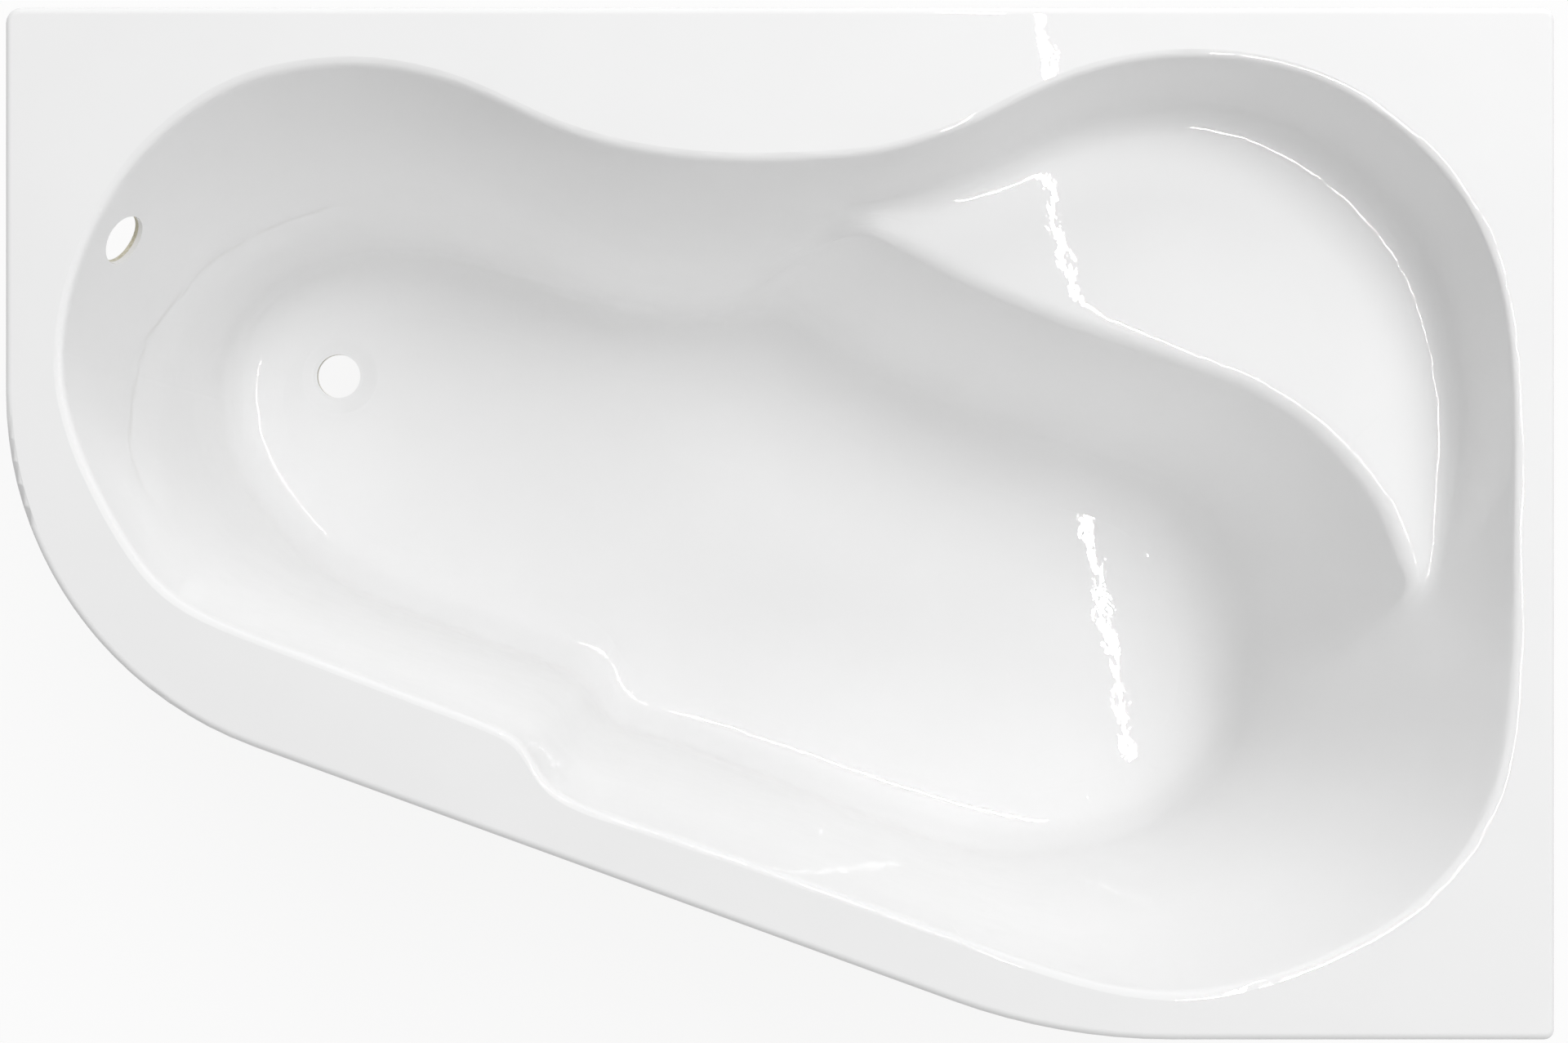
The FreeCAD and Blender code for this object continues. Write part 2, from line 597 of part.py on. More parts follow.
# Seat board under the shelf, on a post that stands on the head end's bar
seat_top = RIM_HEIGHT - SHELF_DEPTH - ACRYLIC_THICKNESS - LAMINATE_THICKNESS
seat_under = seat_top - BOARD_THICKNESS
plate_under = seat_under - SEAT_PLATE_THICKNESS
half_plate = SEAT_PLATE_SIDE / 2
post = tube(plate_under - board_under)
post = post.transformed(FreeCAD.Placement(
    Vector(seat_x, seat_y, board_under), FreeCAD.Rotation(Vector(0, 1, 0), -90)).toMatrix(), True)
plate = box(seat_x - half_plate, seat_x + half_plate, seat_y - half_plate, seat_y + half_plate,
            plate_under, seat_under)
seat_screws = [(seat_x + x * SEAT_SCREW_SPACING / 2, seat_y + y * SEAT_SCREW_SPACING / 2)
               for x in (-1, 1) for y in (-1, 1)]
seat_holes = [upright(screw_through, x, y, plate_under - CUT_OVERRUN, seat_under) for x, y in seat_screws]
parts["seat_post"] = in_frame(without(post.fuse(plate), seat_holes))
seat_pilots = [upright(screw_pilot, x, y, seat_under - CUT_OVERRUN, seat_under + pilot_depth)
               for x, y in seat_screws]
seat_board = box(seat_x - SEAT_BOARD_WIDTH / 2, seat_x + SEAT_BOARD_WIDTH / 2,
                 seat_y - SEAT_BOARD_LENGTH / 2, seat_y + SEAT_BOARD_LENGTH / 2, seat_under, seat_top)
parts["seat_board"] = in_frame(without(seat_board, seat_pilots))

board_pilots = [upright(screw_pilot, x, y, board_under - CUT_OVERRUN, board_under + pilot_depth)
                for x, y in rail_screws]
parts["base_board"] = without(base_board, [in_frame(pilot) for pilot in board_pilots])
parts["board_screws"] = at_each(screw(TUBE_SIDE + SCREW_BITE), rail_screws, tube_under)
parts["seat_screws"] = at_each(screw(SEAT_PLATE_THICKNESS + SCREW_BITE), seat_screws, plate_under)

# Feet: a weld nut over each bar, a lock nut under it, a stud and a pad
parts["weld_nuts"] = at_each(nut(0), feet, board_under)
parts["lock_nuts"] = at_each(nut(0), feet, tube_under - NUT_HEIGHT)
for number, (x, y) in enumerate(feet, 1):
    parts["foot_stud_%d" % number] = in_frame(put(foot_stud(stud_top), x, y, 0, 0))
    parts["foot_pad_%d" % number] = in_frame(put(foot_pad(), x, y, 0, 0))

# Timber under the rim: a block in each square corner, a batten along the back and the front
timber_low = laminate_under - BLOCK_THICKNESS
half_length = RIM_LENGTH / 2 - TIMBER_INSET
half_width = RIM_WIDTH / 2 - TIMBER_INSET
corner_spots = [
    (0, 0), (BLOCK_LEG, 0), (BLOCK_LEG, BLOCK_TIP), (BLOCK_TIP, BLOCK_LEG), (0, BLOCK_LEG), (0, 0)]
batten_left, batten_right = [share * RIM_LENGTH for share in BACK_BATTEN_SHARES]
bend = on_rim(FRONT_BEND_SHARES)
front_side = bend - on_rim(FOOT_CORNER_SHARES)
front_turn = math.degrees(math.atan2(front_side.y, front_side.x))
batten_near, batten_far = [-share * front_side.Length for share in FRONT_BATTEN_SHARES]
corner_block = Part.Face(Part.makePolygon([Vector(x, y, timber_low) for x, y in corner_spots]))
corner_block = corner_block.extrude(Vector(0, 0, BLOCK_THICKNESS))
timbers = {
    "corner_block_back_left": put(corner_block, -half_length, half_width, 0, -90),
    "corner_block_back_right": put(corner_block, half_length, half_width, 0, 180),
    "corner_block_front_right": put(corner_block, half_length, -half_width, 0, 90),
    "rim_batten_back": box(
        batten_left, batten_right, half_width - BATTEN_WIDTH, half_width, timber_low, laminate_under),
    "rim_batten_front": put(
        box(batten_far, batten_near, TIMBER_INSET, TIMBER_INSET + BATTEN_WIDTH, timber_low, laminate_under),
        bend.x, bend.y, 0, front_turn),
}

# Wall brackets, drawn with the wall at Y = 0 and screwed up into the corner blocks
leg_back = -ACRYLIC_THICKNESS - BRACKET_GAP
leg_front = leg_back - BRACKET_THICKNESS
joggle_top = RIM_HEIGHT - LIP_HEIGHT - BRACKET_DROP
joggle_low = joggle_top - BRACKET_THICKNESS
half_bracket = BRACKET_WIDTH / 2
flange_low = timber_low - BRACKET_THICKNESS
bracket = box(-half_bracket, half_bracket, leg_back - BRACKET_FLANGE, leg_back, flange_low, timber_low)
bracket = bracket.fuse(box(-half_bracket, half_bracket, leg_front, leg_back, joggle_low, timber_low))
bracket = bracket.fuse(box(-half_bracket, half_bracket, leg_front, 0, joggle_low, joggle_top))
bracket = bracket.fuse(box(
    -half_bracket, half_bracket, -BRACKET_THICKNESS, 0, joggle_top - BRACKET_WALL_LEG, joggle_top))
bracket = bracket.removeSplitter()
bracket_screw_y = leg_back - BRACKET_SCREW_REACH
bracket_screws = [(side * BRACKET_SCREW_SPACING / 2, bracket_screw_y) for side in (-1, 1)]
bracket = without(bracket, [
    upright(screw_through, x, y, flange_low - CUT_OVERRUN, timber_low + CUT_OVERRUN)
    for x, y in bracket_screws])
bracket = without(bracket, [
    Part.makeCylinder(BRACKET_HOLE_DIAMETER / 2, 2 * CUT_OVERRUN, Vector(
        side * BRACKET_HOLE_SPACING / 2, -CUT_OVERRUN, joggle_top - BRACKET_HOLE_DROP), Vector(0, 1, 0))
    for side in (-1, 1)])
rim_screw = screw(BRACKET_THICKNESS + SCREW_BITE)
bracket_places = {
    "back_left": (BRACKET_CORNER_DISTANCE - RIM_LENGTH / 2, RIM_WIDTH / 2, 0),
    "back_right": (RIM_LENGTH / 2 - BRACKET_CORNER_DISTANCE, RIM_WIDTH / 2, 0),
    "front_right": (RIM_LENGTH / 2, BRACKET_CORNER_DISTANCE - RIM_WIDTH / 2, -90),
}
rim_screws = []
for name, (x, y, turn) in bracket_places.items():
    parts["wall_bracket_" + name] = put(bracket, x, y, 0, turn)
    for screw_x, screw_y in bracket_screws:
        rim_screws.append(put(put(rim_screw, screw_x, screw_y, flange_low, 0), x, y, 0, turn))
        pilot = upright(screw_pilot, screw_x, screw_y, timber_low - CUT_OVERRUN, timber_low + pilot_depth)
        block_name = "corner_block_" + name
        timbers[block_name] = timbers[block_name].cut(put(pilot, x, y, 0, turn))
parts["bracket_screws"] = Part.makeCompound(rim_screws)
parts.update(timbers)

for name, shape in parts.items():
    if shape.ShapeType == "Compound" and len(shape.Solids) == 1:
        shape = shape.Solids[0]
    shape.exportStep("parts/%s.step" % name)
    print(name, shape.isValid(), len(shape.Solids), round(shape.Volume))
print("overflow", overflow_spot, overflow_axis)
print("feet", [in_frame(Part.Vertex(x, y, 0)).Point for x, y in feet])
print("drain", drain_x, drain_y, "stud top", stud_top)
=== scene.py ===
# %% [markdown]
# A corner bath is one white skin of formed acrylic on a hidden carcass: fibreglass, chipboard, a
# welded steel frame and four screw feet. The CAD model holds all of them at their real sizes, so
# this lesson starts from it and adds what a camera sees: finishes, threads, welds, chamfers, light
# and a viewpoint.

# %% Load the bath's frame
import json
import math
import bpy
from mathutils import Matrix, Vector


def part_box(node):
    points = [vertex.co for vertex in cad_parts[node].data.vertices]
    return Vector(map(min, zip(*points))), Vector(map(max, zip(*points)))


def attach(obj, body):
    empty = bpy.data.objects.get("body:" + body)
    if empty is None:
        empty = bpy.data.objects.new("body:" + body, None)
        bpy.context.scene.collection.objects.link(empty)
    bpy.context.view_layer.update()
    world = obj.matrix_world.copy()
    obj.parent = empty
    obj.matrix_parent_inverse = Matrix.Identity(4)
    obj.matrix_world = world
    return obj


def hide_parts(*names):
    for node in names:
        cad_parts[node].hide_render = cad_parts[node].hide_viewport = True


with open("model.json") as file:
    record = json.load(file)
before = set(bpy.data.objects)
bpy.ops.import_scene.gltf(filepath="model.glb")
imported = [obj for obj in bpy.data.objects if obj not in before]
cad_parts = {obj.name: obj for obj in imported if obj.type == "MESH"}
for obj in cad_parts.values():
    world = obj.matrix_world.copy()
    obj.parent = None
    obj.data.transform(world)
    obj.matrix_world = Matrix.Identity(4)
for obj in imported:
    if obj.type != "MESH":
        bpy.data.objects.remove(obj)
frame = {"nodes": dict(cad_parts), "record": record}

scene = bpy.context.scene
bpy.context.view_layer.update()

# %% [markdown]
# Every finish below is a small tree of nodes. Three helpers keep its cells short: one starts a
# material from its plain colour and gloss, one adds a node, and one plugs an output into a socket.
# They could be written out each time, but then the tree would hide behind its wiring.

# %% Helpers that build a tree of nodes
def start_finish(name, colour, roughness, metallic=0.0):
    """A new material with its even values set on the shader itself."""
    finish = bpy.data.materials.new(name)
    finish.use_nodes = True
    shader = finish.node_tree.nodes["Principled BSDF"]
    shader.inputs["Base Color"].default_value = (*colour, 1.0)
    shader.inputs["Roughness"].default_value = roughness
    shader.inputs["Metallic"].default_value = metallic
    return finish, shader


def add_node(finish, kind, values=None, links=None, **settings):
    """A node with its settings, its plain socket values and its incoming links."""
    node = finish.node_tree.nodes.new("ShaderNode" + kind)
    for key, value in settings.items():
        setattr(node, key, value)
    for socket, value in (values or {}).items():
        node.inputs[socket].default_value = value
    for socket, source in (links or {}).items():
        finish.node_tree.links.new(source, node.inputs[socket])
    return node


def plug(finish, source, node, socket):
    """Link an output to a socket of the shader or another node."""
    finish.node_tree.links.new(source, node.inputs[socket])


print("Tree helpers ready")

# %% [markdown]
# Patterns read Object coordinates, in metres, so a grain has its real size on every piece. The
# Mapping node is of the texture kind, and its scale is then the size of one grain: 45 mm by 1.6 mm
# is a strand. A noise is given by its scale, its detail and its roughness, in that order.

# %% Helpers for patterns
def place_on_object(finish, grain=(1.0, 1.0, 1.0), turn=(0.0, 0.0, 0.0)):
    """Object coordinates, turned and measured in grains of a size in metres."""
    coordinates = add_node(finish, "TexCoord")
    mapping = add_node(finish, "Mapping", {"Scale": grain, "Rotation": turn},
                       {"Vector": coordinates.outputs["Object"]}, vector_type="TEXTURE")
    return mapping.outputs["Vector"]


def noise(finish, place, scale=1.0, detail=2.0, roughness=0.5):
    """A noise pattern's value."""
    return add_node(finish, "TexNoise", {"Scale": scale, "Detail": detail, "Roughness": roughness},
                    {"Vector": place}).outputs["Fac"]


def cells(finish, place, scale=1.0):
    """A Voronoi pattern with one random colour for each cell."""
    return add_node(finish, "TexVoronoi", {"Scale": scale}, {"Vector": place}).outputs["Color"]


print("Pattern helpers ready")

# %% [markdown]
# A pattern becomes a finish in three ways: a ramp turns it into tones, a range turns it into more
# or less gloss, and a bump turns it into relief that only light shows. Math nodes mix patterns
# first.

# %% Helpers for tone, gloss and relief
def ramp(finish, source, tones):
    """A colour ramp through (place, colour) tones."""
    node = add_node(finish, "ValToRGB", links={"Fac": source})
    edges = node.color_ramp.elements
    while len(edges) < len(tones):
        edges.new(0.5)
    for edge, (place, colour) in zip(edges, tones):
        edge.position = place
        edge.color = (*colour, 1.0)
    return node.outputs["Color"]


def spread(finish, source, low, high):
    """A value between two limits, for roughness."""
    node = add_node(finish, "MapRange", {"To Min": low, "To Max": high}, {"Value": source})
    return node.outputs["Result"]


def calculate(finish, operation, *values):
    """A Math node on numbers or outputs."""
    node = add_node(finish, "Math", operation=operation)
    for index, value in enumerate(values):
        if isinstance(value, (int, float)):
            node.inputs[index].default_value = value
        else:
            finish.node_tree.links.new(value, node.inputs[index])
    return node.outputs["Value"]


def bump(finish, height, distance, under=None):
    """Small relief in metres, over another relief if one is given."""
    links = {"Height": height}
    if under is not None:
        links["Normal"] = under
    node = add_node(finish, "Bump", {"Distance": distance, "Strength": 1.0}, links)
    return node.outputs["Normal"]


print("Finish helpers ready")

# %% [markdown]
# Acrylic sheet is formed hot over a mould and keeps a mirror gloss. What tells it from paint is how
# reflections wander a little: the sheet cools with a faint waviness a few centimetres long, a
# shorter one over it and a fine orange peel. They are bumps from a few tenths of a millimetre down
# to a hundredth, and wiping leaves the gloss uneven. A real displacement would cost millions of
# faces for what only a reflection shows, so bump is enough.

# %% White acrylic
ACRYLIC_WHITE = (0.91, 0.91, 0.91)
ACRYLIC_TONES = [(0.3, (0.90, 0.90, 0.90)), (0.7, (0.92, 0.92, 0.92))]
ACRYLIC_ROUGHNESS, ACRYLIC_IOR, WIPED_GLOSS = 0.05, 1.49, (0.008, 0.018)
CLOUDS, WIPE_MARKS = (5.0, 3.0), (14.0, 4.0, 0.6)
ACRYLIC_WAVES = (((12.0, 1.0), 0.0003), ((45.0, 3.0, 0.4), 0.00011), ((230.0, 1.0), 0.000008))

white_acrylic, shader = start_finish("white_acrylic_gloss", ACRYLIC_WHITE, ACRYLIC_ROUGHNESS)
shader.inputs["IOR"].default_value = ACRYLIC_IOR
place = place_on_object(white_acrylic)
cloud = noise(white_acrylic, place, *CLOUDS)
plug(white_acrylic, ramp(white_acrylic, cloud, ACRYLIC_TONES), shader, "Base Color")
wiped = noise(white_acrylic, place, *WIPE_MARKS)
plug(white_acrylic, spread(white_acrylic, wiped, *WIPED_GLOSS), shader, "Roughness")
relief = None
for wave, wave_height in ACRYLIC_WAVES:
    relief = bump(white_acrylic, noise(white_acrylic, place, *wave), wave_height, relief)
plug(white_acrylic, relief, shader, "Normal")
print("White acrylic:", len(white_acrylic.node_tree.nodes), "nodes")

# %% [markdown]
# The back of the skin is stiffened with glass strands chopped and sprayed in resin, then rolled
# flat by hand. It dries straw coloured where resin pools and cream where it is dry, lumpy, with
# each strand showing as a paler line. A stretched noise gives strands in one direction only, so
# four of them lie in different directions and the highest wins at each point, as strands that cross
# do.

# %% Fibreglass
STRAND = (0.045, 0.0016, 0.0016)
STRAND_TURNS = ((0.3, 0.2, 0.4), (1.2, 0.5, 1.9), (0.4, 1.1, 2.8), (2.0, 0.7, 1.1))
GLASS_TONES = [(0.66, (0.56, 0.52, 0.37)), (0.98, (0.80, 0.78, 0.68))]
GLASS_ROUGHNESS, RESIN_IOR, GLASS_GLOSS = 0.5, 1.52, (0.22, 0.62)
RESIN_POOLS, POOL_SHARE = (9.0, 3.0), 0.35
LUMPS, LUMP_HEIGHT, STRAND_HEIGHT = (38.0, 3.0), 0.0035, 0.0011

fibreglass, shader = start_finish("fibreglass_sprayed", GLASS_TONES[1][1], GLASS_ROUGHNESS)
shader.inputs["IOR"].default_value = RESIN_IOR
strands = 0.0
for turn in STRAND_TURNS:
    layer = noise(fibreglass, place_on_object(fibreglass, STRAND, turn), detail=1.0)
    strands = calculate(fibreglass, "MAXIMUM", strands, layer)
place = place_on_object(fibreglass)
pools = noise(fibreglass, place, *RESIN_POOLS)
dryness = calculate(fibreglass, "MULTIPLY_ADD", pools, POOL_SHARE, strands)
plug(fibreglass, ramp(fibreglass, dryness, GLASS_TONES), shader, "Base Color")
plug(fibreglass, spread(fibreglass, strands, *GLASS_GLOSS), shader, "Roughness")
lumps = bump(fibreglass, noise(fibreglass, place, *LUMPS), LUMP_HEIGHT)
plug(fibreglass, bump(fibreglass, strands, STRAND_HEIGHT, lumps), shader, "Normal")
print("Fibreglass:", len(STRAND_TURNS), "strand directions")

# %% [markdown]
# The boards that are bonded under the floor and the seat are raw chipboard: flakes of softwood a
# few millimetres long, each with its own tone, pressed with glue. Voronoi cells that are stretched
# flat give one random tone to each flake. One layer alone looks like camouflage, so two lie across
# each other, and a fine noise is the dust between them.

# %% Chipboard
FLAKE = (0.0046, 0.0017, 0.0013)
FLAKE_TURNS, FLAKE_SHARE = (0.5, 2.1), 0.5
DUST = (0.0009, 0.0009, 0.0007)
DUST_SHARE, DUST_MEAN = 0.5, 0.25
CHIP_TONES = [(0.22, (0.37, 0.25, 0.14)), (0.50, (0.55, 0.41, 0.25)), (0.78, (0.70, 0.57, 0.39))]
CHIP_ROUGHNESS, CHIP_GLOSS, CHIP_HEIGHT = 0.8, (0.70, 0.92), 0.0005

chipboard, shader = start_finish("chipboard_raw", CHIP_TONES[1][1], CHIP_ROUGHNESS)
dust = noise(chipboard, place_on_object(chipboard, DUST))
tone = calculate(chipboard, "MULTIPLY_ADD", dust, DUST_SHARE, -DUST_MEAN)
for turn in FLAKE_TURNS:
    flakes = cells(chipboard, place_on_object(chipboard, FLAKE, (0.0, 0.0, turn)))
    tone = calculate(chipboard, "MULTIPLY_ADD", flakes, FLAKE_SHARE, tone)
plug(chipboard, ramp(chipboard, tone, CHIP_TONES), shader, "Base Color")
plug(chipboard, spread(chipboard, tone, *CHIP_GLOSS), shader, "Roughness")
plug(chipboard, bump(chipboard, tone, CHIP_HEIGHT), shader, "Normal")
print("Chipboard:", len(CHIP_TONES), "tones")

# %% [markdown]
# The blocks and battens under the rim are plywood. Its faces show long grain and its edges show the
# layers, which turn by a right angle from one to the next. Height in the block says which layer a
# point is in, so one pattern does both: the grain runs along X in even layers and along Y in odd
# ones. A strip is sawn along the grain, so the batten that lies askew gets the same pattern, turned
# with it.

# %% Plywood
PLY_LOWEST, PLY = 0.575, 0.0032
GRAIN_ALONG_X = (0.080, 0.0022, 0.0030)
GRAIN_ALONG_Y = (0.0022, 0.080, 0.0030)
GRAIN = (1.0, 4.0, 0.6)
PLY_TONES = [(0.2, (0.40, 0.25, 0.12)), (0.5, (0.58, 0.40, 0.22)), (0.8, (0.70, 0.53, 0.33))]
PLY_ROUGHNESS, PLY_GLOSS, PLY_HEIGHT, ODD_SHADE = 0.7, (0.60, 0.85), 0.0004, -0.12
FRONT_TURN = math.radians(-20.0)


def plywood(name, turn):
    """Plywood whose grain is turned about Z."""
    finish, shader = start_finish(name, PLY_TONES[1][1], PLY_ROUGHNESS)
    on_piece = place_on_object(finish)
    height = add_node(finish, "SeparateXYZ", links={"Vector": on_piece}).outputs["Z"]
    layers = calculate(finish, "DIVIDE", calculate(finish, "SUBTRACT", height, PLY_LOWEST), PLY)
    odd = calculate(finish, "FLOORED_MODULO", calculate(finish, "FLOOR", layers), 2.0)
    along = noise(finish, place_on_object(finish, GRAIN_ALONG_X, (0.0, 0.0, turn)), *GRAIN)
    across = noise(finish, place_on_object(finish, GRAIN_ALONG_Y, (0.0, 0.0, turn)), *GRAIN)
    turned = calculate(finish, "MULTIPLY", odd, calculate(finish, "SUBTRACT", across, along))
    grain = calculate(finish, "ADD", along, turned)
    shaded = calculate(finish, "MULTIPLY_ADD", odd, ODD_SHADE, grain)
    plug(finish, ramp(finish, shaded, PLY_TONES), shader, "Base Color")
    plug(finish, spread(finish, grain, *PLY_GLOSS), shader, "Roughness")
    plug(finish, bump(finish, grain, PLY_HEIGHT), shader, "Normal")
    return finish


timber = plywood("plywood_raw", 0.0)
askew_timber = plywood("plywood_raw_askew", FRONT_TURN)
print("Plywood layer in millimetres:", PLY * 1000)

# %% [markdown]
# The tube frame has a grey powder coat. Powder melts into a skin that is never quite flat, so close
# up it has a dimpled texture two millimetres across, and dust settles on it in soft patches.

# %% Powder coat
COAT_TONES = [(0.40, (0.27, 0.28, 0.29)), (0.75, (0.36, 0.36, 0.36))]
COAT_ROUGHNESS, COAT_GLOSS = 0.45, (0.34, 0.62)
DUST_PATCHES, DIMPLES, DIMPLE_DEPTH = (18.0, 4.0, 0.6), (480.0, 1.0), 0.00022

frame_paint, shader = start_finish("grey_powder_coat", COAT_TONES[0][1], COAT_ROUGHNESS)
place = place_on_object(frame_paint)
dusty = noise(frame_paint, place, *DUST_PATCHES)
plug(frame_paint, ramp(frame_paint, dusty, COAT_TONES), shader, "Base Color")
plug(frame_paint, spread(frame_paint, dusty, *COAT_GLOSS), shader, "Roughness")
dimples = noise(frame_paint, place, *DIMPLES)
plug(frame_paint, bump(frame_paint, dimples, DIMPLE_DEPTH), shader, "Normal")
print("Powder coat:", len(frame_paint.node_tree.nodes), "nodes")

# %% [markdown]
# Studs, nuts, screws and brackets are plated with bright zinc. The plate is crystalline, so the
# tone changes a little from patch to patch, and a clear passivation leaves a faint cool and warm
# cast.

# %% Bright zinc
ZINC_TONES = [(0.2, (0.52, 0.53, 0.56)), (0.5, (0.66, 0.67, 0.68)), (0.8, (0.74, 0.73, 0.69))]
ZINC_ROUGHNESS, ZINC_GLOSS = 0.3, (0.24, 0.42)
CRYSTALS, CRYSTAL_SHARE, CRYSTAL_MEAN = 420.0, 0.3, 0.15
ZINC_CAST, ZINC_GRAIN, ZINC_HEIGHT = (60.0, 3.0), (900.0, 2.0), 0.00004

zinc_steel, shader = start_finish("bright_zinc", ZINC_TONES[1][1], ZINC_ROUGHNESS, metallic=1.0)
place = place_on_object(zinc_steel)
crystals = cells(zinc_steel, place, CRYSTALS)
cast = calculate(zinc_steel, "SUBTRACT", noise(zinc_steel, place, *ZINC_CAST), CRYSTAL_MEAN)
tone = calculate(zinc_steel, "MULTIPLY_ADD", crystals, CRYSTAL_SHARE, cast)
plug(zinc_steel, ramp(zinc_steel, tone, ZINC_TONES), shader, "Base Color")
plug(zinc_steel, spread(zinc_steel, tone, *ZINC_GLOSS), shader, "Roughness")
grains = noise(zinc_steel, place, *ZINC_GRAIN)
plug(zinc_steel, bump(zinc_steel, grains, ZINC_HEIGHT), shader, "Normal")
print("Bright zinc:", len(ZINC_TONES), "tones")

# %% [markdown]
# Foot pads and end caps are black nylon from a mould with a spark-eroded, faintly grained wall. It
# is never a pure black: scuffs and dust lift it to a dark grey in places.

# %% Black plastic
NYLON_TONES = [(0.45, (0.014, 0.014, 0.015)), (0.80, (0.045, 0.045, 0.046))]
NYLON_ROUGHNESS, NYLON_GLOSS = 0.5, (0.36, 0.62)
SCUFFS, MOULD_GRAIN, MOULD_HEIGHT = (70.0, 5.0, 0.65), (1300.0, 1.0), 0.00006

black_plastic, shader = start_finish("black_nylon", NYLON_TONES[0][1], NYLON_ROUGHNESS)
place = place_on_object(black_plastic)
scuffs = noise(black_plastic, place, *SCUFFS)
plug(black_plastic, ramp(black_plastic, scuffs, NYLON_TONES), shader, "Base Color")
plug(black_plastic, spread(black_plastic, scuffs, *NYLON_GLOSS), shader, "Roughness")
grains = noise(black_plastic, place, *MOULD_GRAIN)
plug(black_plastic, bump(black_plastic, grains, MOULD_HEIGHT), shader, "Normal")
print("Black nylon:", len(black_plastic.node_tree.nodes), "nodes")

# %% [markdown]
# The record says which material slot each solid of the CAD model has. One loop puts the matching
# finish on every node, so the tubes, boards and skins are dressed before any new piece is made.

# %% Finishes on the CAD nodes
FINISHES = {
    "white_acrylic": white_acrylic, "fibreglass": fibreglass, "chipboard": chipboard,
    "timber": timber, "frame_paint": frame_paint, "zinc_steel": zinc_steel,
    "black_plastic": black_plastic}

for row in frame["record"]["subparts"]:
    frame["nodes"][row["node"]].data.materials[0] = FINISHES[row["material_slot"]]

# %% [markdown]
# Bolts, pads and brackets are shaped by hand: a primitive, then extrudes, insets, bevels and cuts.
# An operator acts on everything that is selected, so selecting comes first each time. By hand that
# is a click; in code it is a test of where a face, an edge or a point lies.

# %% Helpers for selecting
NEAR = 0.00001


def only(piece):
    """Select one piece and nothing else."""
    bpy.ops.object.select_all(action="DESELECT")
    piece.select_set(True)
    bpy.context.view_layer.objects.active = piece


def pick(piece, kind, test):
    """Edit mode, with the points, edges or faces selected that pass a test."""
    only(piece)
    mesh = piece.data
    for group in (mesh.vertices, mesh.edges, mesh.polygons):
        group.foreach_set("select", [False] * len(group))
    for item in {"VERT": mesh.vertices, "EDGE": mesh.edges, "FACE": mesh.polygons}[kind]:
        item.select = test(item)
    kinds = ("VERT", "EDGE", "FACE")
    bpy.context.tool_settings.mesh_select_mode = [kind == name for name in kinds]
    bpy.ops.object.mode_set(mode="EDIT")


def pick_faces(piece, test):
    """Select faces by their middle and normal."""
    pick(piece, "FACE", lambda face: test(face.center, face.normal))


def pick_edges(piece, test):
    """Select edges by their two ends."""
    points = piece.data.vertices
    pick(piece, "EDGE", lambda edge: test(*(points[index].co for index in edge.vertices)))


def pick_points(piece, test):
    """Select points by their place."""
    pick(piece, "VERT", lambda point: test(point.co))


def pick_all(piece):
    """Edit mode, with the whole of a piece selected."""
    only(piece)
    bpy.ops.object.mode_set(mode="EDIT")
    bpy.ops.mesh.select_all(action="SELECT")


def leave():
    """Back to object mode."""
    bpy.ops.object.mode_set(mode="OBJECT")


print("Selecting helpers ready")

# %% [markdown]
# Two solids start nearly everything here, a rod and a block, each added at its size and place. The
# place, turn and size of a new object are then put into its mesh, so that later moves and cuts all
# count in plain metres.

# %% Helpers for new solids
def settle():
    """Put a new primitive's place, turn and size into its mesh."""
    bpy.ops.object.transform_apply(location=True, rotation=True, scale=True)
    return bpy.context.active_object


def rod(radius, low, high, sides):
    """A round rod along Z, or a prism where it has few sides."""
    bpy.ops.object.select_all(action="DESELECT")
    bpy.ops.mesh.primitive_cylinder_add(vertices=sides, radius=radius, depth=high - low,
                                        location=(0.0, 0.0, (low + high) / 2))
    return settle()


def block(low, high):
    """A block between two corners."""
    bpy.ops.object.select_all(action="DESELECT")
    size = [b - a for a, b in zip(low, high)]
    middle = [(a + b) / 2 for a, b in zip(low, high)]
    bpy.ops.mesh.primitive_cube_add(size=1.0, location=middle)
    bpy.context.active_object.scale = size
    return settle()


print("Solid helpers ready")

# %% [markdown]
# These are the hand movements: a face is pushed out, an end is drawn out to a new size, a modifier
# is applied, and one piece is cut with another. A cut can leave two points on one spot, and they
# would give faces without any area, so they are merged at once.

# %% Helpers for shaping
def push(x, y, z):
    """Extrude what is selected by a step."""
    bpy.ops.mesh.extrude_region_move(TRANSFORM_OT_translate={"value": (x, y, z)})


def draw_out(piece, level, distance, share):
    """Extrude the flat end at a height and scale the new end by a share."""
    pick_faces(piece, lambda middle, normal:
               abs(middle.z - level) < NEAR and normal.z * distance > 0)
    push(0.0, 0.0, distance)
    bpy.ops.transform.resize(value=(share, share, 1.0),
                             center_override=(0.0, 0.0, level + distance))
    leave()


def apply_tool(piece, kind, **settings):
    """Add a modifier with its settings and apply it."""
    only(piece)
    tool = piece.modifiers.new(kind.lower(), kind)
    for key, value in settings.items():
        setattr(tool, key, value)
    bpy.ops.object.modifier_apply(modifier=tool.name)


def discard(piece):
    """Throw a pattern or a cutter away."""
    only(piece)
    bpy.ops.object.delete()


def carve(piece, cutter, operation="DIFFERENCE"):
    """Cut a piece with another, merge points that fall together and throw the cutter away."""
    apply_tool(piece, "BOOLEAN", operation=operation, object=cutter, solver="EXACT")
    pick_all(piece)
    bpy.ops.mesh.remove_doubles(threshold=NEAR)
    leave()
    discard(cutter)


print("Shaping helpers ready")

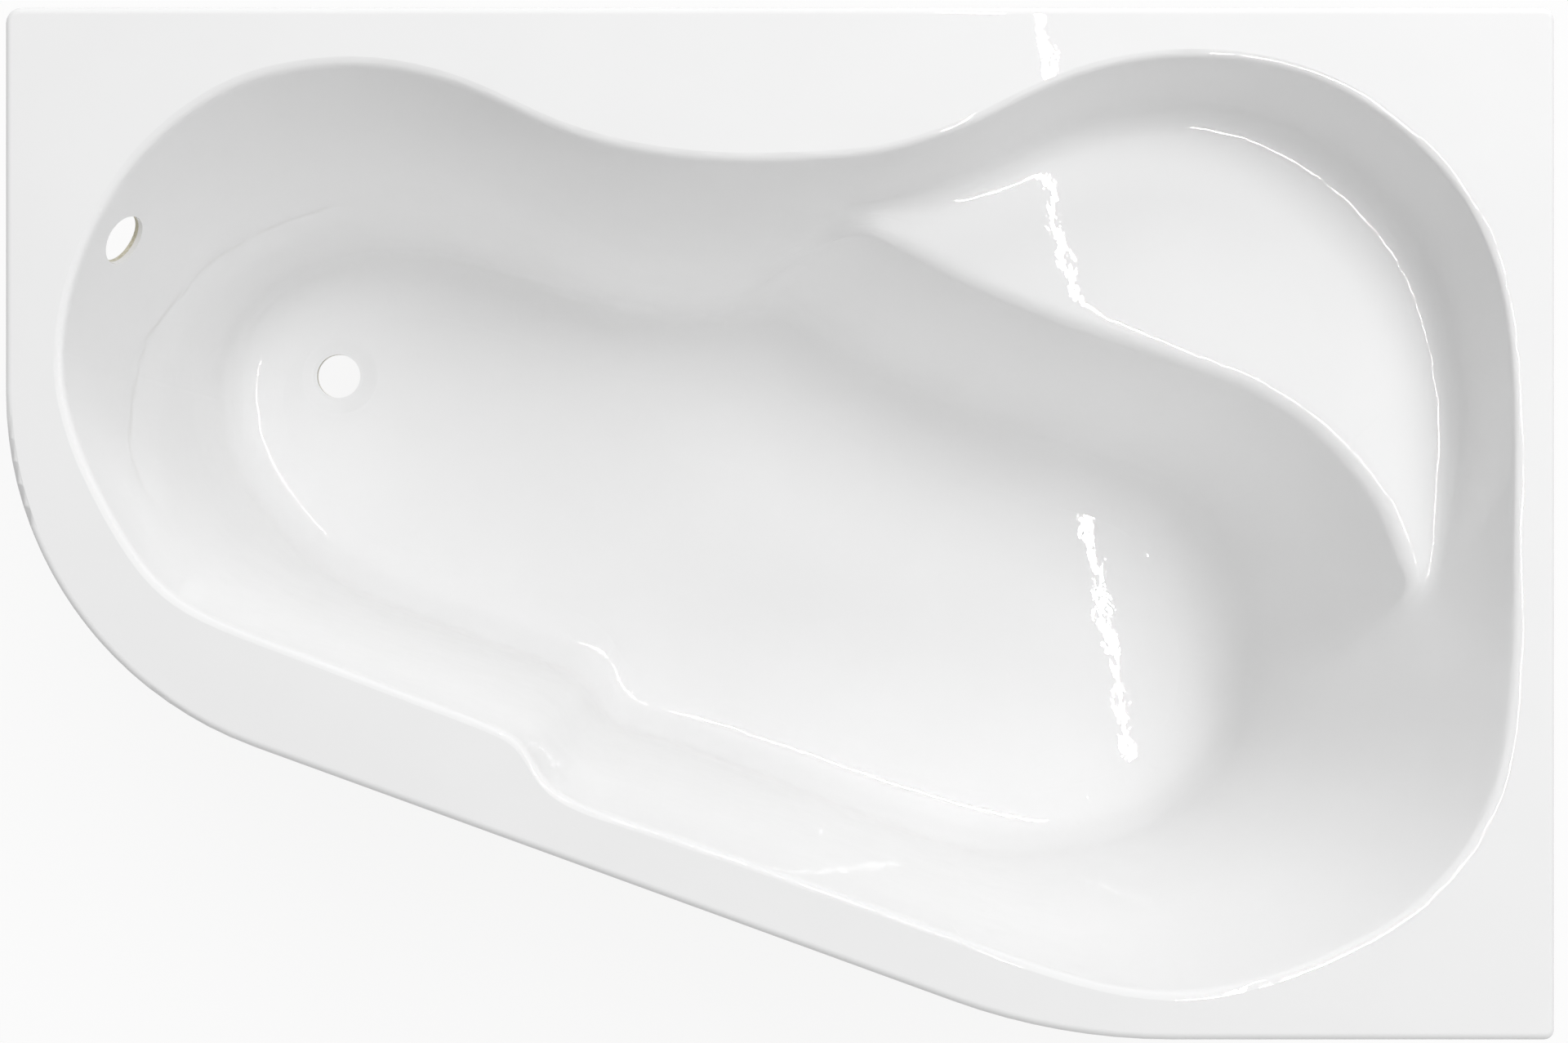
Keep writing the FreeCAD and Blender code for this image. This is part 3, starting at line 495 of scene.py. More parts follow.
# %% [markdown]
# What repeats is modelled once and copied, each copy with a mesh of its own, and a set of copies
# is joined into one piece. Mind that a join keeps only the active object. A finished piece is
# smoothed, named, given its finish and hung on the body it rides on, and the CAD nodes that it
# replaces are hidden.

# %% Helpers for copies and dressing
SMOOTH_BELOW = math.radians(35.0)


def unite(pieces):
    """Join pieces into the first of them."""
    only(pieces[0])
    for piece in pieces:
        piece.select_set(True)
    bpy.ops.object.join()
    return bpy.context.active_object


def copy_at(piece, place):
    """A copy with a mesh of its own, moved by a matrix."""
    only(piece)
    bpy.ops.object.duplicate()
    bpy.context.active_object.matrix_world = place
    return settle()


def scatter(piece, places):
    """One piece made of a copy at each place; the pattern itself is thrown away."""
    copies = [copy_at(piece, place) for place in places]
    discard(piece)
    return unite(copies)


def dress(piece, name, slot, body, *nodes):
    """Name a piece, smooth it, give it its finish, hang it on its body and hide the nodes it
    replaces.
    """
    only(piece)
    bpy.ops.object.shade_smooth_by_angle(angle=SMOOTH_BELOW)
    piece.name = name
    piece.data.name = name
    piece.data.materials.clear()
    piece.data.materials.append(FINISHES[slot])
    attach(piece, body)
    if nodes:
        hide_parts(*nodes)
    print("%s: %d faces on %s" % (name, len(piece.data.polygons), body))


print("Edges are smoothed below", round(math.degrees(SMOOTH_BELOW)), "degrees")

# %% [markdown]
# The steel frame lies at an angle under the bath, along the basin's floor. Its own axes are the
# easiest to build on: X along the two rails and Y along the two cross bars. A matrix carries each
# piece from there to its place, and the middles of the four studs come from the CAD model.

# %% The frame's own axes
FRAME_MIDDLE = (-0.0585, -0.0185, 0.0)
FRAME_TURN = math.atan2(-273.0, 771.0)
FEET = (1, 2, 3, 4)

on_frame = Matrix.Translation(FRAME_MIDDLE) @ Matrix.Rotation(FRAME_TURN, 4, "Z")


def middle_of(node):
    """The middle of a CAD node's box, on the floor."""
    low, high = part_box(node)
    return Vector(((low[0] + high[0]) / 2, (low[1] + high[1]) / 2, 0.0))


def standing(spot, height=0.0, turn=FRAME_TURN):
    """A matrix that turns a piece about Z and puts it over a spot at a height."""
    return Matrix.Translation((spot[0], spot[1], height)) @ Matrix.Rotation(turn, 4, "Z")


foot_spots = [middle_of("foot_stud_%d" % foot) for foot in FEET]
print("Feet at", [tuple(round(value, 4) for value in spot) for spot in foot_spots])

# %% [markdown]
# A hexagon of bar steel is turned on a lathe, which takes its corners off in a cone at each end.
# That leaves the curved line that every real nut has. A six-sided prism is cut down to what lies
# inside a round blank with tapered ends, which is just what the lathe does. The blank is a little
# wider than the corners, so that only its cones cut.

# %% Hexagons with turned corners
HEX_WIDTH = 0.019
HEX_CORNER = HEX_WIDTH / 2 / math.cos(math.radians(30.0))
BLANK_RADIUS, END_RADIUS = 1.02 * HEX_CORNER, 0.97 * HEX_WIDTH / 2
TURNED = (HEX_CORNER - HEX_WIDTH / 2) * math.tan(math.radians(30.0))
HEX_TURN = Matrix.Rotation(math.radians(30.0), 4, "Z")


def hexagon(height):
    """A hexagon from Z = 0 to a height, with corners on the X axis."""
    prism = rod(HEX_CORNER, 0.0, height, sides=6)
    prism.data.transform(HEX_TURN)
    blank = rod(BLANK_RADIUS, TURNED, height - TURNED, sides=48)
    draw_out(blank, height - TURNED, TURNED, END_RADIUS / BLANK_RADIUS)
    draw_out(blank, TURNED, -TURNED, END_RADIUS / BLANK_RADIUS)
    carve(prism, blank, "INTERSECT")
    return prism


print("Hexagon across corners in millimetres:", round(HEX_CORNER * 2000, 2))

# %% [markdown]
# A thread is a triangle swept along a helix. It could be a bump, but then its outline would stay
# straight. The Screw modifier sweeps a circle of three points, which stands beside the axis, and
# the two open ends are filled afterwards. Such a triangle is 1.5 times as high as its circle's
# radius.

# %% Thread
TRIANGLE_HEIGHT = 1.5


def thread_ridge(crest, depth, pitch, low, turns, steps):
    """A helical ridge about Z with a crest at a radius."""
    bpy.ops.object.select_all(action="DESELECT")
    radius = depth / TRIANGLE_HEIGHT
    bpy.ops.mesh.primitive_circle_add(vertices=3, radius=radius,
                                      location=(crest - radius, 0.0, low),
                                      rotation=(math.pi / 2, math.pi / 2, 0.0))
    ridge = settle()
    apply_tool(ridge, "SCREW", axis="Z", angle=2 * math.pi, screw_offset=pitch, iterations=turns,
               steps=steps, render_steps=steps)
    pick_all(ridge)
    bpy.ops.mesh.fill_holes(sides=3)
    bpy.ops.mesh.normals_make_consistent(inside=False)
    leave()
    return ridge


print("Thread helper ready")

# %% [markdown]
# Each foot is an M12 stud. Its core starts as the plain pin that turns in the pad, is inset to the
# root of the thread, and is drawn out to the top. Then come the ridge of the thread and the collar
# that a spanner turns.

# %% Threaded foot studs
STUD_RADIUS, ROOT_RADIUS, STUD_CHAMFER = 0.006, 0.005, 0.0012
STUD_LOW, COLLAR_LOW, COLLAR_HIGH, STUD_HIGH = 0.009, 0.0301, 0.0381, 0.195
STUD_PITCH, THREAD_DEPTH, THREAD_START, THREAD_TURNS = 0.00175, 0.00105, 0.0395, 87
UPWARD = 0.9

stud = rod(STUD_RADIUS, STUD_LOW, COLLAR_HIGH, sides=24)
pick_faces(stud, lambda middle, normal: normal.z > UPWARD)
bpy.ops.mesh.inset(thickness=STUD_RADIUS - ROOT_RADIUS)
push(0.0, 0.0, STUD_HIGH - COLLAR_HIGH)
leave()
pick_edges(stud, lambda a, b:
           min(a.z, b.z) > STUD_HIGH - NEAR or max(a.z, b.z) < STUD_LOW + NEAR)
bpy.ops.mesh.bevel(offset=STUD_CHAMFER, segments=2, affect="EDGES")
leave()
collar = hexagon(COLLAR_HIGH - COLLAR_LOW)
collar.data.transform(Matrix.Translation((0.0, 0.0, COLLAR_LOW)))
ridge = thread_ridge(STUD_RADIUS, THREAD_DEPTH, STUD_PITCH, THREAD_START, THREAD_TURNS, steps=20)
stud = unite([stud, collar, ridge])
for foot, spot in zip(FEET, foot_spots):
    dress(copy_at(stud, standing(spot)), "threaded_stud_%d" % foot, "zinc_steel",
          "stud_%d" % foot, "foot_stud_%d" % foot)
discard(stud)

# %% [markdown]
# Two nuts hold each stud: one is welded on top of the cross bar, and one is run up from below and
# locks it. Their bores open in a small cone at each end so that the stud finds its way in. Both
# kinds are made in one loop, and each is copied to the four spots at its height.

# %% Weld nuts and lock nuts
NUT_HEIGHT = 0.010
WELD_NUT_LOW, LOCK_NUT_LOW = 0.143, 0.108
NUT_BORE, NUT_MOUTH, MOUTH_DEPTH, OVERCUT = 0.00606, 0.00690, 0.00080, 0.0002

for node, level in (("weld_nuts", WELD_NUT_LOW), ("lock_nuts", LOCK_NUT_LOW)):
    nut = hexagon(NUT_HEIGHT)
    bore = rod(NUT_BORE, MOUTH_DEPTH, NUT_HEIGHT - MOUTH_DEPTH, sides=32)
    draw_out(bore, NUT_HEIGHT - MOUTH_DEPTH, MOUTH_DEPTH + OVERCUT, NUT_MOUTH / NUT_BORE)
    draw_out(bore, MOUTH_DEPTH, -MOUTH_DEPTH - OVERCUT, NUT_MOUTH / NUT_BORE)
    carve(nut, bore)
    nuts = scatter(nut, [standing(spot, level) for spot in foot_spots])
    dress(nuts, "turned_" + node, "zinc_steel", "tub", node)

# %% [markdown]
# A wood screw has a round-edged pan head with a cross recess, a thin core with a coarse thread, and
# a point. The recess is cut with two tapered bars, as the punch that makes it is tapered. All heads
# on this bath face down, so the screw is modelled head down.

# %% Wood screw
HEAD_RADIUS, HEAD_HEIGHT, HEAD_ROUND = 0.0045, 0.0025, 0.0011
CORE_RADIUS, CREST_RADIUS, POINT_LENGTH, POINT_SHARE = 0.00145, 0.0020, 0.0035, 0.08
COARSE_PITCH, COARSE_DEPTH, FIRST_TURN, LAST_TURN = 0.0018, 0.00065, 0.0015, 0.002
RECESS_LENGTH, RECESS_WIDTH, RECESS_DEPTH, RECESS_TAPER = 0.0046, 0.0009, 0.0013, 0.55


def wood_screw(length):
    """A wood screw that points up, with its head under Z = 0."""
    head = rod(HEAD_RADIUS, -HEAD_HEIGHT, 0.0, sides=32)
    pick_edges(head, lambda a, b: max(a.z, b.z) < -HEAD_HEIGHT + NEAR)
    bpy.ops.mesh.bevel(offset=HEAD_ROUND, segments=4, affect="EDGES")
    leave()
    for turn in (0.0, math.pi / 2):
        slot = block((-RECESS_LENGTH / 2, -RECESS_WIDTH / 2, -HEAD_HEIGHT - RECESS_DEPTH),
                     (RECESS_LENGTH / 2, RECESS_WIDTH / 2, -HEAD_HEIGHT + RECESS_DEPTH))
        slot.data.transform(Matrix.Rotation(turn, 4, "Z"))
        pick_faces(slot, lambda middle, normal: normal.z > UPWARD)
        bpy.ops.transform.resize(value=(RECESS_TAPER, RECESS_TAPER, 1.0),
                                 center_override=(0.0, 0.0, 0.0))
        leave()
        carve(head, slot)
    core = rod(CORE_RADIUS, -OVERCUT, length - POINT_LENGTH, sides=16)
    draw_out(core, length - POINT_LENGTH, POINT_LENGTH, POINT_SHARE)
    turns = int((length - POINT_LENGTH - LAST_TURN) / COARSE_PITCH)
    ridge = thread_ridge(CREST_RADIUS, COARSE_DEPTH, COARSE_PITCH, FIRST_TURN, turns, steps=12)
    return unite([head, core, ridge])


print("Screw head in millimetres:", HEAD_RADIUS * 2000)

# %% [markdown]
# Six long screws go up through the rails into the base board, and four short ones through the seat
# post's plate into the seat board. Each length is made once and copied to its places.

# %% Board screws and seat screws
BOARD_SCREW, SEAT_SCREW = 0.037, 0.016
RAIL_OFFSET, RAIL_SCREW_STEP = 0.110, 0.30145
TUBE_LOW, TUBE_HIGH, TUBE_HALF = 0.118, 0.143, 0.0125
SEAT_PLATE_LOW, SEAT_SCREW_OFFSET = 0.454, 0.022
SEAT_SPOT = middle_of("seat_post")

board_spots = [(step * RAIL_SCREW_STEP, side * RAIL_OFFSET, TUBE_LOW)
               for side in (-1, 1) for step in (-1, 0, 1)]
board_screws = scatter(wood_screw(BOARD_SCREW),
                       [on_frame @ Matrix.Translation(spot) for spot in board_spots])
dress(board_screws, "board_wood_screws", "zinc_steel", "tub", "board_screws")
seat_places = [standing(SEAT_SPOT, SEAT_PLATE_LOW) @ Matrix.Translation(
    (x * SEAT_SCREW_OFFSET, y * SEAT_SCREW_OFFSET, 0.0)) for x in (-1, 1) for y in (-1, 1)]
seat_screws = scatter(wood_screw(SEAT_SCREW), seat_places)
dress(seat_screws, "seat_wood_screws", "zinc_steel", "tub", "seat_screws")

# %% [markdown]
# A foot pad is moulded nylon, and moulders save plastic: a thin dished skirt that runs up to a
# neck. The skirt is drawn up ring by ring from a disc, each ring with its height and radius, and
# the socket for the stud is an inset pushed down from the top.

# %% Foot pads, skirt and neck
PAD_RINGS = ((0.0010, 0.0280), (0.0048, 0.0280), (0.0060, 0.0270), (0.0072, 0.0215),
             (0.0095, 0.0172), (0.0140, 0.0148), (0.0180, 0.0140), (0.0292, 0.0140),
             (0.0300, 0.0132))
PAD_SOLE, SOLE_EDGE = 0.0272, 0.0002
PAD_SOCKET, PAD_SOCKET_LOW = 0.00605, 0.008

pad = rod(PAD_SOLE, 0.0, SOLE_EDGE, sides=48)
level, radius = SOLE_EDGE, PAD_SOLE
for ring_level, ring_radius in PAD_RINGS:
    draw_out(pad, level, ring_level - level, ring_radius / radius)
    level, radius = ring_level, ring_radius
pick_faces(pad, lambda middle, normal: abs(middle.z - level) < NEAR and normal.z > UPWARD)
bpy.ops.mesh.inset(thickness=radius - PAD_SOCKET)
push(0.0, 0.0, PAD_SOCKET_LOW - level)
leave()
print("Pad skirt:", len(pad.data.polygons), "faces")

# %% [markdown]
# Ribs stiffen the thin skirt against the neck. One rib is a block with its outer top edge lowered
# and all its edges bevelled, because a mould has no sharp corners, and it is copied all round.

# %% Foot pads, ribs
RIB_HALF, RIB_COUNT, RIB_DROP, RIB_ROUND = 0.0012, 8, 0.0125, 0.0004
RIB_NEAR, RIB_FAR, RIB_LOW, RIB_HIGH = 0.0125, 0.0265, 0.0045, 0.0195

rib = block((RIB_NEAR, -RIB_HALF, RIB_LOW), (RIB_FAR, RIB_HALF, RIB_HIGH))
pick_edges(rib, lambda a, b:
           min(a.x, b.x) > RIB_FAR - NEAR and min(a.z, b.z) > RIB_HIGH - NEAR)
bpy.ops.transform.translate(value=(0.0, 0.0, -RIB_DROP))
leave()
apply_tool(rib, "BEVEL", width=RIB_ROUND, segments=2, limit_method="ANGLE")
rib_turns = [2 * math.pi * index / RIB_COUNT for index in range(RIB_COUNT)]
ribs = scatter(rib, [Matrix.Rotation(turn, 4, "Z") for turn in rib_turns])
pad = unite([pad, ribs])
for foot, spot in zip(FEET, foot_spots):
    dress(copy_at(pad, standing(spot)), "ribbed_pad_%d" % foot, "black_plastic",
          "pad_%d" % foot, "foot_pad_%d" % foot)
discard(pad)

# %% [markdown]
# The open ends of the two cross bars are shut with push-in caps. A cap is a square button with
# rounded corners and a shallow dish, on a ribbed plug that grips the tube. Insets that rise and
# then sink shape the button's edge and dish; together they stay smaller than the corner's round, or
# the corner would turn inside out.

# %% Tube end cap
CAP_SIDE, CAP_ROUND = 0.0022, 0.0032
CAP_STEPS = ((0.0003, 0.0005), (0.0005, 0.0003), (0.0012, 0.0), (0.0006, -0.0005))
PLUG_HALF, PLUG_LENGTH, PLUG_ROUND = 0.0085, 0.014, 0.0010
FIN_HALF, FIN_THIN, FIN_ROUND, FIN_LEVELS = 0.0109, 0.0006, 0.0005, (-0.003, -0.007, -0.011)

cap = block((-TUBE_HALF, -TUBE_HALF, 0.0), (TUBE_HALF, TUBE_HALF, CAP_SIDE))
pick_edges(cap, lambda a, b: abs(a.z - b.z) > CAP_SIDE / 2)
bpy.ops.mesh.bevel(offset=CAP_ROUND, segments=5, affect="EDGES")
leave()
pick_faces(cap, lambda middle, normal: normal.z > UPWARD)
for inward, rise in CAP_STEPS:
    bpy.ops.mesh.inset(thickness=inward, depth=rise)
leave()
plug_core = block((-PLUG_HALF, -PLUG_HALF, -PLUG_LENGTH), (PLUG_HALF, PLUG_HALF, CAP_SIDE / 4))
apply_tool(plug_core, "BEVEL", width=PLUG_ROUND, segments=2, limit_method="ANGLE")
fin = block((-FIN_HALF, -FIN_HALF, -FIN_THIN), (FIN_HALF, FIN_HALF, FIN_THIN))
apply_tool(fin, "BEVEL", width=FIN_ROUND, segments=2, limit_method="ANGLE")
fins = scatter(fin, [Matrix.Translation((0.0, 0.0, level)) for level in FIN_LEVELS])
cap = unite([cap, plug_core, fins])
print("End cap:", len(cap.data.polygons), "faces")

# %% [markdown]
# The bars reach 30 mm past the studs, so the studs give the caps' places. The cap was modelled with
# its button up, and a quarter turn about X lays it over to face out of its end of the bar.

# %% Tube end caps in place
STUD_FROM_END = 0.030

along_bar = Matrix.Rotation(FRAME_TURN, 3, "Z") @ Vector((0.0, 1.0, 0.0))
tube_middle = (TUBE_LOW + TUBE_HIGH) / 2
cap_places = []
for spot, side in zip(foot_spots, (-1, 1, -1, 1)):
    end = spot + side * STUD_FROM_END * along_bar
    cap_places.append(standing(end, tube_middle) @ Matrix.Rotation(-side * math.pi / 2, 4, "X"))
dress(scatter(cap, cap_places), "moulded_end_caps", "black_plastic", "tub", "tube_end_caps")

# %% [markdown]
# A wall bracket is a strip of steel with three bends. Folding it as a sheet gives real bend radii:
# one plane for the flange, its edge extruded along each leg, the fold lines and the four corners
# rounded by bevels, and the thickness added last by Solidify.

# %% Wall bracket, folded
STEEL, BRACKET_HALF = 0.0025, 0.021
FLANGE_FRONT, LEG_FRONT = -0.051, -0.00725
FLANGE_MIDDLE, JOGGLE_MIDDLE, BRACKET_LOW = 0.57375, 0.55275, 0.499
BEND, CORNER_ROUND = 0.0027, 0.006

bpy.ops.object.select_all(action="DESELECT")
flange_place = (0.0, (FLANGE_FRONT + LEG_FRONT) / 2, FLANGE_MIDDLE)
bpy.ops.mesh.primitive_plane_add(size=1.0, location=flange_place)
bracket = bpy.context.active_object
bracket.scale = (2 * BRACKET_HALF, LEG_FRONT - FLANGE_FRONT, 1.0)
settle()
pick_edges(bracket, lambda a, b: min(a.y, b.y) > LEG_FRONT - NEAR)
push(0.0, 0.0, JOGGLE_MIDDLE - FLANGE_MIDDLE)
push(0.0, -STEEL / 2 - LEG_FRONT, 0.0)
push(0.0, 0.0, BRACKET_LOW - JOGGLE_MIDDLE)
leave()
pick_edges(bracket, lambda a, b: abs(a.x - b.x) > BRACKET_HALF and a.y > FLANGE_FRONT + NEAR
           and a.z > BRACKET_LOW + NEAR)
bpy.ops.mesh.bevel(offset=BEND, segments=5, affect="EDGES")
leave()
pick_points(bracket, lambda point:
            point.y < FLANGE_FRONT + NEAR or point.z < BRACKET_LOW + NEAR)
bpy.ops.mesh.bevel(offset=CORNER_ROUND, segments=5, affect="VERTICES")
bpy.ops.mesh.select_all(action="SELECT")
bpy.ops.mesh.normals_make_consistent(inside=False)
leave()
apply_tool(bracket, "SOLIDIFY", thickness=STEEL, offset=0.0, use_even_offset=True)
print("Bracket sheet in millimetres:", STEEL * 1000)

# %% [markdown]
# Two holes in the flange take wood screws and two in the leg take the wall screws. Drilling comes
# after the thickness, so that each hole has a wall, and a last bevel breaks every sharp edge, as
# tumbling does before plating.

# %% Wall bracket, drilled
HOLE_STEP, SCREW_SPOT, WALL_HOLE_HEIGHT = 0.011, -0.036, 0.519
SCREW_HOLE, WALL_HOLE = 0.00225, 0.00325
EDGE_BREAK, SHARP_ABOVE = 0.0003, math.radians(60.0)

for side in (-1, 1):
    drill = rod(SCREW_HOLE, FLANGE_MIDDLE - STEEL, FLANGE_MIDDLE + STEEL, sides=24)
    drill.data.transform(Matrix.Translation((side * HOLE_STEP, SCREW_SPOT, 0.0)))
    carve(bracket, drill)
    drill = rod(WALL_HOLE, -STEEL, STEEL, sides=32)
    drill.data.transform(Matrix.Translation((side * HOLE_STEP, -STEEL / 2, WALL_HOLE_HEIGHT)) @
                         Matrix.Rotation(math.pi / 2, 4, "X"))
    carve(bracket, drill)
apply_tool(bracket, "BEVEL", width=EDGE_BREAK, segments=2, limit_method="ANGLE",
           angle_limit=SHARP_ABOVE)
print("Bracket:", len(bracket.data.polygons), "faces")

# %% [markdown]
# Three corners of the rim are square and stand against walls, and each has a bracket under its lip.
# The bracket was drawn with the wall at Y = 0, so a move puts two of them at the back wall, and a
# quarter turn puts the third at the side wall. Short screws hold them to the corner blocks.

# %% Wall brackets and their screws
BRACKET_PLACES = {
    "back_left": standing((-0.670, 0.500), turn=0.0),
    "back_right": standing((0.670, 0.500), turn=0.0),
    "front_right": standing((0.750, -0.420), turn=-math.pi / 2)}
BRACKET_SCREW = 0.0145

screw_places = []
for corner, place in BRACKET_PLACES.items():
    dress(copy_at(bracket, place), "folded_bracket_" + corner, "zinc_steel", "tub",
          "wall_bracket_" + corner)
    for side in (-1, 1):
        under_flange = (side * HOLE_STEP, SCREW_SPOT, FLANGE_MIDDLE - STEEL / 2)
        screw_places.append(place @ Matrix.Translation(under_flange))
discard(bracket)
bracket_screws = scatter(wood_screw(BRACKET_SCREW), screw_places)
dress(bracket_screws, "bracket_wood_screws", "zinc_steel", "tub", "bracket_screws")

# %% [markdown]
# The battens under the rim's long sides are sawn from the same plywood. A sawn edge is never left
# sharp: one pass of a sanding block takes it off. The front batten lies askew, so each one starts
# as a copy of its CAD mesh. That is loose triangles, so points are merged and flat faces made whole
# before a small bevel eases the edges, which then catch the line of light that a knife edge lacks.

# %% Rim battens
BATTEN_EASE, FLAT = 0.0012, math.radians(1.0)

for side in ("back", "front"):
    node = "rim_batten_" + side
    batten = bpy.data.objects.new(node, frame["nodes"][node].data.copy())
    scene.collection.objects.link(batten)
    pick_all(batten)
    bpy.ops.mesh.remove_doubles(threshold=NEAR)
    bpy.ops.mesh.dissolve_limited(angle_limit=FLAT)
    leave()
    apply_tool(batten, "BEVEL", width=BATTEN_EASE, segments=3, limit_method="ANGLE")
    dress(batten, "eased_batten_" + side, "timber", "tub", node)
batten.data.materials[0] = askew_timber

# %% [markdown]
# The tubes are joined by hand welding, and the coat of powder lies over the welds. A bead is a row
# of small ripples where the pool froze, one leaning on the next. One flattened ball with few faces
# is tilted and repeated by an Array.

# %% Weld bead
RIPPLE, RIPPLE_STEP, RIPPLE_LEAN = 0.0021, 0.0021, math.radians(28.0)
RIPPLE_SHAPE = (0.7, 1.0, 0.9)


def weld_bead(length):
    """A bead along X, centred on the origin."""
    bpy.ops.object.select_all(action="DESELECT")
    bpy.ops.mesh.primitive_uv_sphere_add(segments=8, ring_count=6, radius=RIPPLE)
    bead = settle()
    pick_all(bead)
    bpy.ops.transform.resize(value=RIPPLE_SHAPE, center_override=(0.0, 0.0, 0.0))
    bpy.ops.transform.rotate(value=RIPPLE_LEAN, orient_axis="Y", center_override=(0.0, 0.0, 0.0))
    leave()
    count = int(length / RIPPLE_STEP)
    apply_tool(bead, "ARRAY", count=count, use_relative_offset=False, use_constant_offset=True,
               constant_offset_displace=(RIPPLE_STEP, 0.0, 0.0))
    bead.data.transform(Matrix.Translation((-(count - 1) * RIPPLE_STEP / 2, 0.0, 0.0)))
    return bead


print("Ripple in millimetres:", RIPPLE_STEP * 1000)

# %% [markdown]
# Copies of the bead run down the inner corners of the frame and across the undersides, where a
# welder can reach, and round the foot and the head of the seat post. Shorter tacks hold the weld
# nuts on the bars.

# %% Weld beads in place
RAIL_END, BRACE_END = 0.39646, 0.0975
BEAD_OUT, BEAD_SUNK = 0.0005, 0.001
TUBE_BEAD, TACK = 2 * TUBE_HALF - 0.003, 0.0095

upright = Matrix.Rotation(math.pi / 2, 4, "Y")
across = Matrix.Rotation(math.pi / 2, 4, "Z")
beside_tube, beside_nut = TUBE_HALF + BEAD_OUT, HEX_WIDTH / 2 + BEAD_OUT
bead_places = []
for rail_side in (-1, 1):
    for end in (-1, 1):
        x, y = end * (RAIL_END - BEAD_OUT), rail_side * RAIL_OFFSET
        underside = (end * RAIL_END, y, TUBE_LOW + BEAD_SUNK)
        bead_places.append(Matrix.Translation(underside) @ across)
        bead_places += [Matrix.Translation((x, y + side * beside_tube, tube_middle)) @ upright
                        for side in (-1, 1)]
for end in (-1, 1):
    bead_places.append(Matrix.Translation((0.0, end * BRACE_END, TUBE_LOW + BEAD_SUNK)))
    y = end * (BRACE_END - BEAD_OUT)
    bead_places += [Matrix.Translation((side * beside_tube, y, tube_middle)) @ upright
                    for side in (-1, 1)]
seat_on_frame = on_frame.inverted() @ SEAT_SPOT
foot_weld = Vector((0.0, 0.0, TUBE_HIGH + BEAD_OUT))
head_weld = Vector((0.0, 0.0, SEAT_PLATE_LOW - BEAD_OUT))
for side in (-1, 1):
    beside = seat_on_frame + Vector((0.0, side * beside_tube, 0.0))
    ahead = seat_on_frame + Vector((side * beside_tube, 0.0, 0.0))
    bead_places.append(Matrix.Translation(beside + foot_weld))
    bead_places.append(Matrix.Translation(beside + head_weld))
    bead_places.append(Matrix.Translation(ahead + head_weld) @ across)
beads = scatter(weld_bead(TUBE_BEAD), [on_frame @ place for place in bead_places])
tack_places = [standing(spot, WELD_NUT_LOW + BEAD_OUT) @ Matrix.Translation(
    (0.0, side * beside_nut, 0.0)) for spot in foot_spots for side in (-1, 1)]
tacks = scatter(weld_bead(TACK), tack_places)
dress(unite([beads, tacks]), "weld_beads", "frame_paint", "tub")

# %% [markdown]
# The camera looks straight down from 1.8 m above the rim, near enough for the basin's walls to show
# all round. A lens of 42.8 mm on a 36 mm sensor gives the frame's width at that distance.

# %% Camera
CAMERA_PLACE, LENS_MM, SENSOR_MM = (0.0039, 0.0020, 2.4), 42.8, 36.0

camera_data = bpy.data.cameras.new("camera_above")
camera_data.lens = LENS_MM
camera_data.sensor_width = SENSOR_MM
camera = bpy.data.objects.new("camera_above", camera_data)
camera.location = CAMERA_PLACE
scene.collection.objects.link(camera)
scene.camera = camera
print("Camera at", CAMERA_PLACE)

# %% [markdown]
# White on white needs light with a direction, or the form goes flat. Three soft panels stand far
# off, one high at the back right, one low at the back and a weak one in front, so each wall gets
# its own grey. A gloss would mirror them as bright squares, so they are hidden from glossy rays,
# and one long thin lamp that only glossy rays see draws the fine bright lines along each rounded
# edge, as a tube light does.

# %% Light
PANEL_SIZE, PANEL_AIM = 4.0, (0.0, 0.0, 0.5)
PANELS = (("panel_high", (2.475, 2.475, 6.56), 268.0), ("panel_back", (0.0, 6.34, 3.46), 161.0),
          ("panel_front", (0.0, -5.36, 5.0), 62.0))
STRIP_PLACE, STRIP_TURN = (0.571, 0.59, 2.4), math.radians(101.2)
STRIP_LENGTH, STRIP_WIDTH, STRIP_POWER = 2.47, 0.016, 15.5


def soft_panel(name, place, size_x, size_y, power):
    """A rectangular lamp that faces down and that the camera doesn't see."""
    lamp = bpy.data.lights.new(name, "AREA")
    lamp.shape = "RECTANGLE"
    lamp.size = size_x
    lamp.size_y = size_y
    lamp.energy = power
    panel = bpy.data.objects.new(name, lamp)
    panel.location = place
    panel.visible_camera = False
    scene.collection.objects.link(panel)
    return panel


for name, place, power in PANELS:
    panel = soft_panel(name, place, PANEL_SIZE, PANEL_SIZE, power)
    to_bath = Vector(PANEL_AIM) - Vector(place)
    panel.rotation_euler = to_bath.to_track_quat("-Z", "Y").to_euler()
    panel.visible_glossy = False
strip = soft_panel("strip_lamp", STRIP_PLACE, STRIP_LENGTH, STRIP_WIDTH, STRIP_POWER)
strip.rotation_euler = (0.0, 0.0, STRIP_TURN)
strip.visible_diffuse = False

# %% [markdown]
# The backdrop is plain white where the camera looks past the bath, and where gloss or metal mirrors
# it, while the light that reaches the bath from the room is far weaker. Light Path tells these rays
# apart, so the white costs no extra light.

# %% Room
WHITE = (1.0, 1.0, 1.0, 1.0)
ROOM_LIGHT = 0.295


